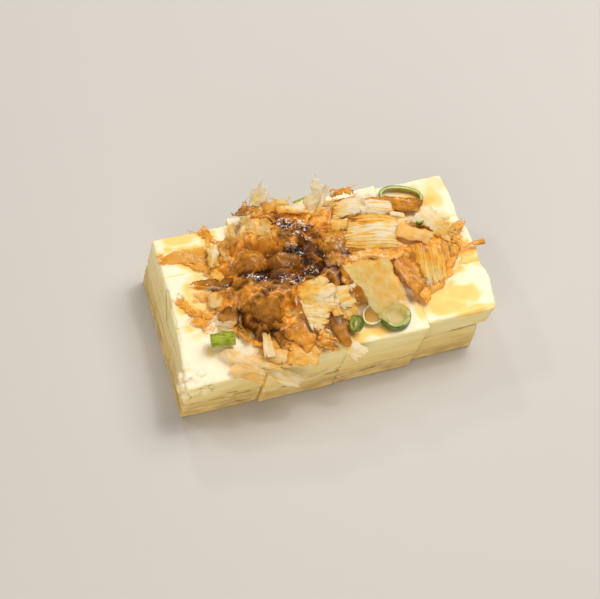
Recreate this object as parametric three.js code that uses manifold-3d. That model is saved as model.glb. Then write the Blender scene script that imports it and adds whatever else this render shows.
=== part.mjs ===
// A block of chilled tofu, cut into cubes that still keep the block's shape, under a heap of
// dried bonito shavings with spring onion. Millimetres, +Z up, +X along the block, the front at -Y.

import * as THREE from 'three';
import { mergeVertices } from 'three/addons/utils/BufferGeometryUtils.js';
import Module from 'manifold-3d';

const wasm = await Module();
wasm.setup();

// Driving dimensions of the tofu.
const HEIGHT = 28.5;
const LEAN = 5.8; // the cut faces lean, so the top stands this far to the right of the base
const KNIFE_GAP = 0.3; // width of a knife cut
const SOFT_EDGE = 0.6; // rounding of the cubes' edges
const END_BELLY = 2.4; // swelling of the right end at the top
const SLUMP = { down: 3, out: 2.2, left: 3.4, reachX: 20, reachY: 16 }; // of the front left corner

// The four columns: each slid a little as it was cut. split is the height of the level cut at
// the column's left and right side, undercut how far its lower layer draws back at the end.
const COLUMNS = [
  { left: -63, right: -31, front: -34, back: 33.6, split: [12.8, 10], undercut: 0 },
  { left: -31, right: 0.5, front: -35.4, back: 36.8, split: [8, 11.2], undercut: 0 },
  { left: 0.5, right: 34, front: -34.8, back: 37.8, split: [3.8, 9.4], undercut: 0 },
  { left: 34, right: 63, front: -32.7, back: 36.2, split: [16.2, 18.2], undercut: 4 },
];
const ROW_CUTS = [-9.5, 14.5];
const CRACK = [6.8, 2.8]; // heights of the crack that splits the first column's front lower cube
const BITE = { at: [-65, -40.5, 25], reach: [8.5, 8, 10] }; // what has crumbled off the corner

// Driving dimensions of the toppings.
const SHAVING_THICKNESS = 0.9;
const SHAVING_MESH = 5; // size of the patches that a shaving is made of
const PACKED = { count: 14, middle: [8, 2], reachX: 40, reachY: 25 }; // small ones between the rest
const CLEARANCE = 0.3; // between the toppings and the tofu, and between two toppings
const ONION_DIAMETER = 6;
const ONION_WALL = 1.3;

const COLOURS = {
  tofu: '#f7ecd0',
  shavings: '#c98a3c',
  onion: '#8fae34',
  paleOnion: '#c9c27a',
};

function mix(a, b, t) {
  return a + (b - a) * t;
}

// A repeatable draw of numbers from 0 to 1.
function drawFrom(seed) {
  let state = seed;
  return () => {
    state = (state * 1664525 + 1013904223) % 4294967296;
    return state / 4294967296;
  };
}

function toSolid(geometry) {
  const bare = geometry.clone();
  bare.deleteAttribute('normal');
  bare.deleteAttribute('uv');
  const merged = mergeVertices(bare, 1e-4);
  return new wasm.Manifold(new wasm.Mesh({
    numProp: 3,
    vertProperties: new Float32Array(merged.attributes.position.array),
    triVerts: new Uint32Array(merged.index.array),
  }));
}

function toGeometry(solid) {
  const { vertProperties, triVerts } = solid.getMesh();
  const geometry = new THREE.BufferGeometry();
  geometry.setAttribute('position', new THREE.BufferAttribute(vertProperties, 3));
  geometry.setIndex(new THREE.BufferAttribute(triVerts, 1));
  geometry.computeVertexNormals();
  return geometry;
}

function largestBody(solid) {
  return solid.decompose().reduce((a, b) => (a.volume() > b.volume() ? a : b));
}

// ---------------------------------------------------------------- the tofu

// Soft tofu settles: the whole block leans, its right end swells and one corner slumps.
function settle(x, y, z) {
  const rise = z / HEIGHT;
  const nearEnd = THREE.MathUtils.smoothstep(x, 40, 63);
  const belly = END_BELLY * nearEnd * Math.max(0, 1 - ((y + 6) / 36) ** 2);
  const corner = Math.exp(-(((x + 56) / SLUMP.reachX) ** 2) - ((y + 33) / SLUMP.reachY) ** 2);
  return new THREE.Vector3(
    x + rise * (LEAN + belly - corner * SLUMP.left),
    y - rise * corner * SLUMP.out,
    z - rise * corner * SLUMP.down,
  );
}

// One cube, between the cuts around it, with soft edges. low and high are the heights of its
// bottom and top at its left and right side.
function cube(left, right, front, back, low, high, undercut) {
  const half = [(right - left) / 2, (back - front) / 2, (high[0] + high[1] - low[0] - low[1]) / 4];
  const box = new THREE.BoxGeometry(2, 2, 2, 4, 3, 3);
  const position = box.attributes.position;
  for (let i = 0; i < position.count; i++) {
    const corner = [position.getX(i), position.getY(i), position.getZ(i)];
    const at = corner.map((value, axis) => {
      const flat = half[axis] - SOFT_EDGE;
      if (Math.abs(value) < 0.1) return 0;
      return Math.sign(value) * (Math.abs(value) > 0.99 ? half[axis] : flat);
    });
    const inner = at.map((value, axis) => {
      const flat = half[axis] - SOFT_EDGE;
      return THREE.MathUtils.clamp(value, -flat, flat);
    });
    const out = new THREE.Vector3(at[0] - inner[0], at[1] - inner[1], at[2] - inner[2]);
    out.normalize().multiplyScalar(SOFT_EDGE);
    const [u, v, w] = inner.map((value, axis) => (
      (value + out.getComponent(axis)) / half[axis] / 2 + 0.5
    ));
    const z = mix(mix(low[0], low[1], u), mix(high[0], high[1], u), w);
    const x = mix(left, right - undercut * w, u);
    position.setXYZ(i, ...settle(x, mix(front, back, v), z));
  }
  return box;
}

const tofuMaterial = new THREE.MeshStandardMaterial({
  color: COLOURS.tofu, roughness: 0.45, metalness: 0,
});

// The blocks of the plan, column by column and row by row, up to the middle of the cuts.
const CELLS = COLUMNS.flatMap((column, c) => {
  const rows = [column.front, ...ROW_CUTS, column.back];
  return rows.slice(1).map((back, r) => ({ column, c, r, front: rows[r], back }));
});

function tofuCubes() {
  const gap = KNIFE_GAP / 2;
  return CELLS.flatMap(({ column, c, r, front, back }) => {
    const left = column.left + (c === 0 ? 0 : gap);
    const right = column.right - (c === COLUMNS.length - 1 ? 0 : gap);
    const near = front + (r === 0 ? 0 : gap);
    const far = back - (r === ROW_CUTS.length ? 0 : gap);
    const cracked = c === 0 && r === 0;
    const levels = [
      { name: 'lower', to: cracked ? CRACK : column.split, undercut: column.undercut },
      ...(cracked ? [{ name: 'middle', to: column.split, undercut: 0 }] : []),
      { name: 'upper', to: [HEIGHT, HEIGHT], undercut: 0 },
    ];
    let low = [0, 0];
    return levels.map(({ name, to, undercut }) => {
      const high = name === 'upper' ? to : to.map((z) => z - gap);
      const mesh = new THREE.Mesh(cube(left, right, near, far, low, high, undercut), tofuMaterial);
      mesh.name = `tofu_c${c + 1}_r${r + 1}_${name}`;
      low = to.map((z) => z + gap);
      return mesh;
    });
  });
}

// The block without its level cuts, grown by the clearance: what the toppings keep clear of.
function tofuEnvelope() {
  const grow = CLEARANCE;
  const [low, high] = [-grow, HEIGHT + grow];
  const solids = CELLS.map(({ column, front, back }) => toSolid(cube(
    column.left - grow, column.right + grow, front - grow, back + grow,
    [low, low], [high, high], 0,
  )));
  return solids.reduce((a, b) => a.add(b));
}

// The front left corner of the block has crumbled away.
function breakCorner(mesh) {
  const bite = new THREE.IcosahedronGeometry(1, 2);
  const position = bite.attributes.position;
  const reach = new THREE.Vector3(...BITE.reach);
  for (let i = 0; i < position.count; i++) {
    const p = new THREE.Vector3().fromBufferAttribute(position, i);
    const rough = 1 + 0.09 * Math.sin(7 * p.x + 3 * p.z) + 0.07 * Math.sin(9 * p.y - 5 * p.z);
    p.multiply(reach).multiplyScalar(rough).add(new THREE.Vector3(...BITE.at));
    position.setXYZ(i, p.x, p.y, p.z);
  }
  mesh.geometry = toGeometry(largestBody(toSolid(mesh.geometry).subtract(toSolid(bite))));
}

// ---------------------------------------------------------------- the bonito shavings

// A shaving is a thin wavy blade. at is its middle and its lift above the tofu's top; turn, pitch
// and roll lay it, in degrees; size is length and width; curl bends its two ends down, in degrees,
// and point narrows them, from 0 for a torn square end to 1 for a tip.
const STANDING_AT_THE_BACK = [
  { at: [-13, 34, 11.5], turn: 12, pitch: 47, roll: 38, size: [16, 9], curl: -30, point: 0.2 },
  { at: [10, 29.5, 12.5], turn: 30, pitch: 46, roll: 24, size: [17, 10], curl: -20, point: 0.1 },
  { at: [-20, 27, 5.5], turn: -104, pitch: -49, roll: 20, size: [10, 8], curl: 25, point: 0.6 },
  { at: [-25, 26, 2.6], turn: -91, pitch: -12, roll: 40, size: [10, 7], curl: 20, point: 0.2 },
  { at: [-1, 28, 9.5], turn: -7, pitch: 7, roll: 22, size: [14, 7], curl: 25, point: 0.3 },
  { at: [-9, 31, 8.5], turn: 6, pitch: 0, roll: 32, size: [7, 8], curl: 40, point: 0.3 },
  { at: [22, 30, 10], turn: -9, pitch: 7, roll: 35, size: [11, 9], curl: 20, point: 0.5 },
];
const DRY_ON_THE_RIGHT = [
  { at: [23, 23, 10.2], turn: -8, pitch: -2, roll: 4, size: [14, 9], curl: 35, point: 0.2 },
  { at: [33, 21.5, 8.2], turn: -23, pitch: -4, roll: 13, size: [15, 6], curl: 25, point: 0.3 },
  { at: [40, 15.5, 6.6], turn: -13, pitch: -10, roll: 16, size: [11, 6], curl: 25, point: 0.2 },
  { at: [28, 7, 11], turn: -7, pitch: -8, roll: 14, size: [22, 12], curl: 45, point: 0.2 },
  { at: [28, 13, 11.5], turn: -15, pitch: -6, roll: 0, size: [18, 6], curl: 25, point: 0.4 },
  { at: [41, 24.5, 3.2], turn: -20, pitch: -9, roll: -5, size: [24, 6], curl: 10, point: 0.4 },
  { at: [45, 4, 7.5], turn: -29, pitch: -14, roll: 4, size: [13, 8], curl: 20, point: 0.3 },
  { at: [48, -10, 6], turn: -92, pitch: -12, roll: -4, size: [23, 15], curl: 30, point: 0.3 },
  { at: [37, -13, 7], turn: -72, pitch: -15, roll: -3, size: [17, 6], curl: 15, point: 0.4 },
  { at: [40.5, -21, 4], turn: -55, pitch: -17, roll: 3, size: [8, 6], curl: 15, point: 0.4 },
  { at: [25, -17, 7.5], turn: -73, pitch: -15, roll: 6, size: [24, 15], curl: 40, point: 0.5 },
  { at: [54, 11, 5], turn: -65, pitch: -9, roll: 8, size: [14, 10], curl: 45, point: 0.4 },
];
const CRUMPLED_IN_FRONT = [
  { at: [1, -13, 9], turn: 17, pitch: 7, roll: 7, size: [17, 10], curl: 25, point: 0.3 },
  { at: [1, -21, 6.5], turn: 11, pitch: 0, roll: 21, size: [17, 11], curl: 20, point: 0.6 },
  { at: [9.5, -19, 5], turn: 8, pitch: -5, roll: 27, size: [7, 10], curl: 20, point: 0.3 },
  { at: [12, -12, 8], turn: 20, pitch: 18, roll: 21, size: [6, 6], curl: 20, point: 0.3 },
  { at: [4, -29, 3.5], turn: -83, pitch: -24, roll: 10, size: [12, 6], curl: 20, point: 0.5 },
  { at: [-13, -28.5, 4.5], turn: -117, pitch: -42, roll: -2, size: [9, 9], curl: 15, point: 0.3 },
];
const OVER_THE_FRONT_EDGE = [
  { at: [-15, -33, 1.5], turn: -22, pitch: -7, roll: 24, size: [25, 12], curl: 20, point: 0.3 },
  { at: [-19, -38, -4.5], turn: -22, pitch: -34, roll: 47, size: [21, 9], curl: 30, point: 0.4 },
  { at: [3, -34, 1.6], turn: -38, pitch: -13, roll: 22, size: [21, 10], curl: 50, point: 0.6 },
  { at: [-35, -31, 1.4], turn: -30, pitch: -7, roll: 22, size: [19, 7], curl: 25, point: 0.5 },
  { at: [-34, -35.4, -0.8], turn: -26, pitch: -10, roll: 42, size: [15, 8], curl: 25, point: 0.5 },
];
const SOAKED_LUMPS = [
  { at: [-23, -16, 7], turn: -91, pitch: -21, roll: 7, size: [16, 16], curl: 110, point: 0.3 },
  { at: [-22, 6, 9.5], turn: -97, pitch: -24, roll: 18, size: [15, 12], curl: 100, point: 0.3 },
  { at: [-11, 2, 11], turn: -98, pitch: -31, roll: 6, size: [13, 15], curl: 90, point: 0.3 },
  { at: [2, 7, 10.5], turn: -87, pitch: -14, roll: -3, size: [11, 10], curl: 40, point: 0.3 },
  { at: [1, 0, 10], turn: -102, pitch: -16, roll: -2, size: [9, 10], curl: 40, point: 0.3 },
  { at: [-13, 14, 12.5], turn: -90, pitch: 3, roll: 9, size: [10, 10], curl: 50, point: 0.3 },
  { at: [-3, 13, 13], turn: -87, pitch: 0, roll: 0, size: [9, 13], curl: 40, point: 0.3 },
  { at: [11, 8, 12.5], turn: -98, pitch: -5, roll: 0, size: [13, 12], curl: 40, point: 0.3 },
  { at: [9, -1, 11], turn: -103, pitch: -14, roll: 0, size: [10, 12], curl: 40, point: 0.3 },
];
const SOAKED_FLAT = [
  { at: [-47, 23, 1.4], turn: -9, pitch: 3, roll: 4, size: [19, 7.5], curl: 8, point: 0.2 },
  { at: [-42, 17, 2.2], turn: -48, pitch: 4, roll: 12, size: [13, 8], curl: 15, point: 0.3 },
  { at: [-36, 31, 1.2], turn: -57, pitch: 1, roll: 12, size: [11, 6], curl: 10, point: 0.5 },
  { at: [-36, 25.5, 1.4], turn: -95, pitch: 3, roll: 5, size: [9, 3.5], curl: 5, point: 0.2 },
  { at: [-36, 17, 3.6], turn: -99, pitch: 0, roll: 18, size: [13, 7], curl: 20, point: 0.2 },
  { at: [-41, 4, 4], turn: -35, pitch: 12, roll: 25, size: [17, 5], curl: 15, point: 0.9 },
  { at: [-37.5, 5, 5.4], turn: -68, pitch: 0, roll: 24, size: [6, 6], curl: 60, point: 0.3 },
  { at: [-52, -2.5, 1.1], turn: -62, pitch: 1, roll: 3, size: [14, 5], curl: 5, point: 0.4 },
  { at: [-48.5, -10.5, 1.2], turn: -56, pitch: 0, roll: 3, size: [8, 8], curl: 5, point: 0.3 },
  { at: [-46, -5.5, 2], turn: -43, pitch: 3, roll: 5, size: [11, 6], curl: 10, point: 0.3 },
  { at: [-40, -2.5, 3], turn: -101, pitch: -12, roll: 15, size: [8, 9], curl: 20, point: 0.3 },
  { at: [-37, -12, 2.6], turn: -90, pitch: -18, roll: 10, size: [8, 9], curl: 25, point: 0.3 },
  { at: [62.5, -1, 2.6], turn: -99, pitch: -14, roll: -6, size: [7, 8], curl: 15, point: 0.4 },
  { at: [60.5, -6, 1.8], turn: -94, pitch: -8, roll: -5, size: [7, 11], curl: 10, point: 0.3 },
  { at: [66, -3, 2.4], turn: -5, pitch: 2, roll: 15, size: [9, 2.2], curl: 15, point: 0.2 },
  { at: [71, -3.8, 2.3], turn: -20, pitch: 5, roll: 24, size: [8, 4], curl: 10, point: 0.9 },
];

// The middle and half-width of a blade a share u of the way along it; its two edges are torn.
function bladePoint(blade, index, u, v) {
  const [length, width] = blade.size;
  const bend = THREE.MathUtils.degToRad(blade.curl || 1);
  const radius = length / bend;
  const angle = bend * (u - 0.5);
  const ends = 1 - blade.point * Math.abs(2 * u - 1) ** 2.4;
  const torn = 1 + 0.12 * Math.sin(7 * u + index) + 0.08 * Math.sin(17 * u + 2 * index + 3 * v);
  const across = (width / 2) * ends * torn * v;
  const ripple = 0.035 * length * Math.sin(9 * u + 1.7 * v + index);
  const hump = -0.12 * width * ends * v * v;
  return new THREE.Vector3(
    radius * Math.sin(angle),
    across,
    radius * (Math.cos(angle) - 1) + ripple + hump,
  );
}

function bladeGeometry(blade, index) {
  const along = THREE.MathUtils.clamp(Math.round(blade.size[0] / SHAVING_MESH) + 1, 2, 6);
  const across = THREE.MathUtils.clamp(Math.round(blade.size[1] / SHAVING_MESH), 1, 4);
  const points = [];
  for (const side of [1, -1]) {
    for (let i = 0; i <= along; i++) {
      for (let j = 0; j <= across; j++) {
        const [u, v] = [i / along, (2 * j) / across - 1];
        const here = bladePoint(blade, index, u, v);
        const ahead = bladePoint(blade, index, u + 0.01, v).sub(here);
        const beside = bladePoint(blade, index, u, v + 0.01).sub(here);
        const normal = ahead.cross(beside).normalize();
        points.push(...here.addScaledVector(normal, (side * SHAVING_THICKNESS) / 2));
      }
    }
  }
  const row = across + 1;
  const layer = (along + 1) * row;
  const faces = [];
  const quad = (a, b, c, d) => faces.push(a, b, c, a, c, d);
  for (let i = 0; i < along; i++) {
    for (let j = 0; j < across; j++) {
      const a = i * row + j;
      quad(a, a + row, a + row + 1, a + 1);
      const b = a + layer;
      faces.push(b, b + row + 1, b + row, b, b + 1, b + row + 1);
    }
  }
  for (let i = 0; i < along; i++) {
    const [near, far] = [i * row, i * row + across];
    quad(near, near + layer, near + row + layer, near + row);
    quad(far, far + row, far + row + layer, far + layer);
  }
  for (let j = 0; j < across; j++) {
    const [start, end] = [j, along * row + j];
    quad(start, start + 1, start + 1 + layer, start + layer);
    quad(end, end + layer, end + 1 + layer, end + 1);
  }
  const geometry = new THREE.BufferGeometry();
  geometry.setAttribute('position', new THREE.Float32BufferAttribute(points, 3));
  geometry.setIndex(faces);
  const { degToRad } = THREE.MathUtils;
  const lay = new THREE.Euler(
    degToRad(blade.roll), -degToRad(blade.pitch), degToRad(blade.turn), 'ZYX',
  );
  geometry.applyMatrix4(new THREE.Matrix4().makeRotationFromEuler(lay));
  return geometry.translate(blade.at[0], blade.at[1], HEIGHT + blade.at[2]);
}

// The packed middle of the heap: low domes on the tofu, x, y, reach along x and y, and height.
const DOMES = [
  [12, 4, 34, 22, 9.5],
  [-18, 2, 17, 17, 8],
  [-10, -22, 22, 10, 3],
  [-43, 4, 13, 22, 1],
  [-32, -31, 9, 4, 1.2],
  [51, 1, 16, 16, 4.5],
  [12, 23, 33, 10, 9.5],
  [-13, 28, 10, 6, 8.5],
];

function domeHeight(x, y) {
  return Math.max(...DOMES.map(([cx, cy, rx, ry, h]) => (
    h * Math.sqrt(Math.max(0, 1 - ((x - cx) / rx) ** 2 - ((y - cy) / ry) ** 2))
  )));
}

function domeGeometry([cx, cy, rx, ry, h]) {
  const dome = new THREE.SphereGeometry(1, 14, 6);
  dome.rotateX(Math.PI / 2);
  return dome.scale(rx, ry, h).translate(cx, cy, HEIGHT);
}

// Smaller shavings close the gaps: they lie on the domes, along a spiral from the middle out.
function packedShavings() {
  const draw = drawFrom(11);
  const golden = Math.PI * (3 - Math.sqrt(5));
  const { count, middle: [midX, midY], reachX, reachY } = PACKED;
  return Array.from({ length: count }, (_, i) => {
    const reach = Math.sqrt((i + 0.5) / count);
    const x = midX + reachX * reach * Math.cos(i * golden);
    const y = midY + reachY * reach * Math.sin(i * golden);
    return {
      at: [x, y, domeHeight(x, y) + 0.3],
      turn: 360 * draw(),
      pitch: 24 * draw() - 12,
      roll: 30 * draw() - 15,
      size: [6 + 4 * draw(), 4 + 3 * draw()],
      curl: 20 + 30 * draw(),
      point: 0.5 * draw(),
    };
  });
}

function bonitoShavings(onions) {
  const blades = [
    ...STANDING_AT_THE_BACK, ...DRY_ON_THE_RIGHT, ...CRUMPLED_IN_FRONT, ...OVER_THE_FRONT_EDGE,
    ...SOAKED_LUMPS, ...SOAKED_FLAT, ...packedShavings(),
  ];
  const pieces = [...DOMES.map(domeGeometry), ...blades.map(bladeGeometry)].map(toSolid);
  let heap = pieces[0];
  for (const piece of pieces.slice(1)) heap = heap.add(piece);
  heap = heap.subtract(tofuEnvelope());
  for (const onion of onions) heap = heap.subtract(grown(onion));
  return toGeometry(largestBody(heap).simplify(0.06));
}

// ---------------------------------------------------------------- the spring onion

// A length of hollow stalk along X, flattened a little, with its axis through the origin.
function stalk(length, outerX, outerY, wall, sides) {
  const section = new THREE.Shape().absellipse(0, 0, outerX, outerY, 0, 2 * Math.PI, false, 0);
  const bore = new THREE.Path();
  bore.absellipse(0, 0, outerX - wall, outerY - wall, 0, 2 * Math.PI, true, 0);
  section.holes.push(bore);
  const geometry = new THREE.ExtrudeGeometry(section, {
    depth: length, bevelEnabled: false, steps: 1, curveSegments: sides,
  });
  return geometry.translate(0, 0, -length / 2);
}

const onionMaterial = new THREE.MeshStandardMaterial({
  color: COLOURS.onion, roughness: 0.4, metalness: 0,
});
const paleOnionMaterial = new THREE.MeshStandardMaterial({
  color: COLOURS.paleOnion, roughness: 0.4, metalness: 0,
});

// lay turns the stalk's axis: about X, then Y, then Z, in degrees.
function onionPiece(name, geometry, at, lay, material = onionMaterial) {
  const mesh = new THREE.Mesh(geometry, material);
  mesh.name = name;
  mesh.rotation.set(...lay.map(THREE.MathUtils.degToRad), 'ZYX');
  mesh.position.set(at[0], at[1], HEIGHT + at[2]);
  return mesh;
}

function springOnions() {
  const r = ONION_DIAMETER / 2;
  return [
    onionPiece('onion_stalk_left', stalk(9.4, r, r * 0.92, ONION_WALL, 8),
      [-42, -21.2, r + 0.4], [0, 90, -5]),
    onionPiece('onion_stalk_back', stalk(11, r, r * 0.9, ONION_WALL, 8),
      [8.5, 33, r + 1.6], [0, 90, 12]),
    onionPiece('onion_ring_back', stalk(2, 9.6, 5.4, ONION_WALL, 14),
      [48.3, 28, 1.5], [3, 2, -22]),
    onionPiece('onion_ring_front', stalk(2.2, 5.6, 5.2, ONION_WALL, 11),
      [26.6, -28.4, 1.7], [-4, 3, 0]),
    onionPiece('onion_ring_pale', stalk(2, 4.8, 4.2, 1, 10),
      [18.4, -21.4, 2.4], [14, -6, 30], paleOnionMaterial),
    onionPiece('onion_slice_front', stalk(4.2, r * 0.85, r * 0.8, ONION_WALL, 8),
      [9.6, -28, r + 0.2], [0, 62, 205]),
    onionPiece('onion_chip_right', stalk(1.4, 2.4, 1.9, 1.2, 6),
      [50.6, 11.6, 5.4], [-18, 14, 40]),
  ];
}

// The same solid, swollen about its own middle, which clears a place for the piece.
function grown(mesh) {
  mesh.updateMatrixWorld(true);
  const geometry = mesh.geometry.clone();
  geometry.computeBoundingBox();
  const size = geometry.boundingBox.getSize(new THREE.Vector3());
  const swell = size.toArray().map((side) => (side + 2 * CLEARANCE) / side);
  const outline = new THREE.CylinderGeometry(0.5, 0.5, 1, 24).rotateX(Math.PI / 2);
  outline.scale(size.x * swell[0], size.y * swell[1], size.z * swell[2]);
  return toSolid(outline.applyMatrix4(mesh.matrixWorld));
}

// ---------------------------------------------------------------- the part

const group = new THREE.Group();
const tofu = tofuCubes();
breakCorner(tofu.find((mesh) => mesh.name === 'tofu_c1_r1_upper'));
const onions = springOnions();
const shavings = new THREE.Mesh(
  bonitoShavings(onions),
  new THREE.MeshStandardMaterial({ color: COLOURS.shavings, roughness: 0.55, metalness: 0 }),
);
shavings.name = 'bonito_shavings';
group.add(...tofu, ...onions, shavings);

// The origin is under the middle of the whole, on the surface that it stands on.
const extent = new THREE.Box3().setFromObject(group);
const middle = extent.getCenter(new THREE.Vector3());
group.position.set(-middle.x, -middle.y, -extent.min.z);

export default group;
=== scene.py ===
import math
import random

import bmesh
import bpy
import numpy as np
from mathutils import Euler, Matrix, Vector, noise
from mathutils.bvhtree import BVHTree
from mathutils.geometry import delaunay_2d_cdt


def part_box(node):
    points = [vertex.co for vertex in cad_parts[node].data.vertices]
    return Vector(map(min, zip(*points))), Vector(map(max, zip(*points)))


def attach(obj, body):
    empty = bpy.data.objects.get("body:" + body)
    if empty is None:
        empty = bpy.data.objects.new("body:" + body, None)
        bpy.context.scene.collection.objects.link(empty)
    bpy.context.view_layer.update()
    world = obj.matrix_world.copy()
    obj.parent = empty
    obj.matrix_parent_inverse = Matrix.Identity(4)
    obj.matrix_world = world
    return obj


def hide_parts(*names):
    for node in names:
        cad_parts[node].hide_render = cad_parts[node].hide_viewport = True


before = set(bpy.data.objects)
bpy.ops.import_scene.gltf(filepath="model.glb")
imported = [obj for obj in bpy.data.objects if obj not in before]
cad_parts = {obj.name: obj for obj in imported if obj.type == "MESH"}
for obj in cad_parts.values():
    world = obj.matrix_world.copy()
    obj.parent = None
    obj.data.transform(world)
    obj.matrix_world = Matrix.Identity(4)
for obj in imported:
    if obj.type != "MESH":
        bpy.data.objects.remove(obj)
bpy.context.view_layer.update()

# ---------------------------------------------------------------- the tofu
# A block of soft white bean curd, set in a mould and cut through with a thin knife into cubes
# that still cling together. It stood in soy sauce, which has crept up its sides, and more has
# run down from the toppings, so that the curd is stained yellow there. Its upright sides are
# also painted a darker gold: partly that soy, partly painted shade.

MM = 0.001
TOP = 28.5  # height of the tofu, in mm, as all sizes here
CURD_NET = 0.7  # size of the small faces that the curd is made of
CURD_SWELL = 0.11  # the cubes press against each other and close the cuts

# The block's own plan: x along it from its middle, the front at -y. In it, the block's back left
# foot is at FOOT_LEFT and FOOT_BACK, and its front at FRONT.
FOOT_LEFT, FOOT_BACK, FRONT = -63, 33.6, -33.4
back_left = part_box("tofu_c1_r3_lower")
PLAN = np.array([back_left[0].x / MM - FOOT_LEFT, back_left[1].y / MM - FOOT_BACK, 0])


def lumps(points, size, seed=0):
    """Smooth noise from about -1 to 1 at each point, with lumps of that size, or sizes by axis."""
    at = np.asarray(points, float) / np.array(size, float) + 17.3 * seed
    return np.array([noise.noise(p) for p in at.tolist()])


def smooth(low, high, value):
    """0 below low, 1 above high, and a soft step between them."""
    t = np.clip((value - low) / (high - low), 0, 1)
    return t * t * (3 - 2 * t)


class Wire:
    """The output of a shader node. Sums and products of wires are Math nodes."""

    def __init__(self, tree, socket=None):
        self.tree, self.socket = tree, socket

    def node(self, kind, settings, sockets, output=0):
        """Adds a node: its settings first, then the values or wires of its sockets."""
        made = self.tree.nodes.new(kind)
        for name, value in settings.items():
            if name == "stops":
                ramp = made.color_ramp.elements
                while len(ramp) < len(value):
                    ramp.new(0.5)
                for element, (at, colour) in zip(ramp, value):
                    element.position, element.color = at, (*colour, 1)
            else:
                setattr(made, name, value)
        for name, value in sockets.items():
            if isinstance(value, Wire):
                self.tree.links.new(value.socket, made.inputs[name])
            else:
                made.inputs[name].default_value = value
        return Wire(self.tree, made.outputs[output])

    def maths(self, operation, a, b=0):
        return self.node("ShaderNodeMath", {"operation": operation}, {0: a, 1: b})

    def __add__(self, other):
        return self.maths("ADD", self, other)

    def __sub__(self, other):
        return self.maths("SUBTRACT", self, other)

    def __rsub__(self, other):
        return self.maths("SUBTRACT", other, self)

    def __mul__(self, other):
        return self.maths("MULTIPLY", self, other)

    __radd__ = __add__
    __rmul__ = __mul__

    def step(self, low, high):
        """0 below low, 1 above high, and a soft step between them."""
        return self.node(
            "ShaderNodeMapRange",
            {"interpolation_type": "SMOOTHSTEP"},
            {"Value": self, "From Min": low, "From Max": high},
        )

    def ramp(self, *stops):
        return self.node("ShaderNodeValToRGB", {"stops": stops}, {"Fac": self})

    def between(self, a, b):
        """Colour a where this wire is 0 and colour b where it is 1."""
        colours = [c if isinstance(c, Wire) else (*c, 1) for c in (a, b)]
        return self.node("ShaderNodeMix", {"data_type": "RGBA"}, {0: self, 6: colours[0], 7: colours[1]}, 2)

    def stretched(self, scale):
        return self.node("ShaderNodeVectorMath", {"operation": "MULTIPLY"}, {0: self, 1: scale})

    def mottle(self, size, detail=3.0, rough=0.5):
        """Noise from 0 to 1 over these coordinates in mm."""
        return self.node(
            "ShaderNodeTexNoise",
            {},
            {"Vector": self, "Scale": 1 / size, "Detail": detail, "Roughness": rough},
        )

    def given(self, name, output=2):
        """What each point of the mesh carries under that name: a number, or with output 1 a place."""
        return self.node("ShaderNodeAttribute", {"attribute_name": name}, {}, output)

    def bumps(self, depth, strength=1.0):
        sockets = {"Height": self, "Distance": depth * MM, "Strength": strength}
        return self.node("ShaderNodeBump", {}, sockets)


def new_finish(name, fixed):
    """A material with those fixed values, its shader, and its coordinates in mm as a wire."""
    material = bpy.data.materials.new(name)
    material.use_nodes = True
    tree = material.node_tree
    shader = tree.nodes["Principled BSDF"]
    for socket, value in fixed.items():
        shader.inputs[socket].default_value = value
    place = Wire(tree).node("ShaderNodeTexCoord", {}, {}, 3)
    return material, shader, place.stretched((1 / MM,) * 3)


def feed(shader, **wires):
    """Links wires to the shader's sockets, named in lower case with _ for a space."""
    for name, wire in wires.items():
        socket = shader.inputs[name.replace("_", " ").title()]
        wire.tree.links.new(wire.socket, socket)


def piece(name, points, faces, finish, slot, nodes, **given):
    """A mesh that rides with the food, from points in mm in the block's plan. given are numbers
    that each point carries for the finish."""
    mesh = bpy.data.meshes.new(name)
    mesh.from_pydata(((np.asarray(points) + PLAN) * MM).tolist(), [], [list(f) for f in faces])
    mesh.shade_smooth()
    for key, values in given.items():
        values = np.asarray(values, np.float32)
        kind, field = ("FLOAT", "value") if values.ndim == 1 else ("FLOAT_VECTOR", "vector")
        mesh.attributes.new(key, kind, "POINT").data.foreach_set(field, values.ravel())
    mesh.materials.append(finish)
    thing = bpy.data.objects.new(name, mesh)
    bpy.context.scene.collection.objects.link(thing)
    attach(thing, "root")
    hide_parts(*nodes)
    return thing


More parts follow.
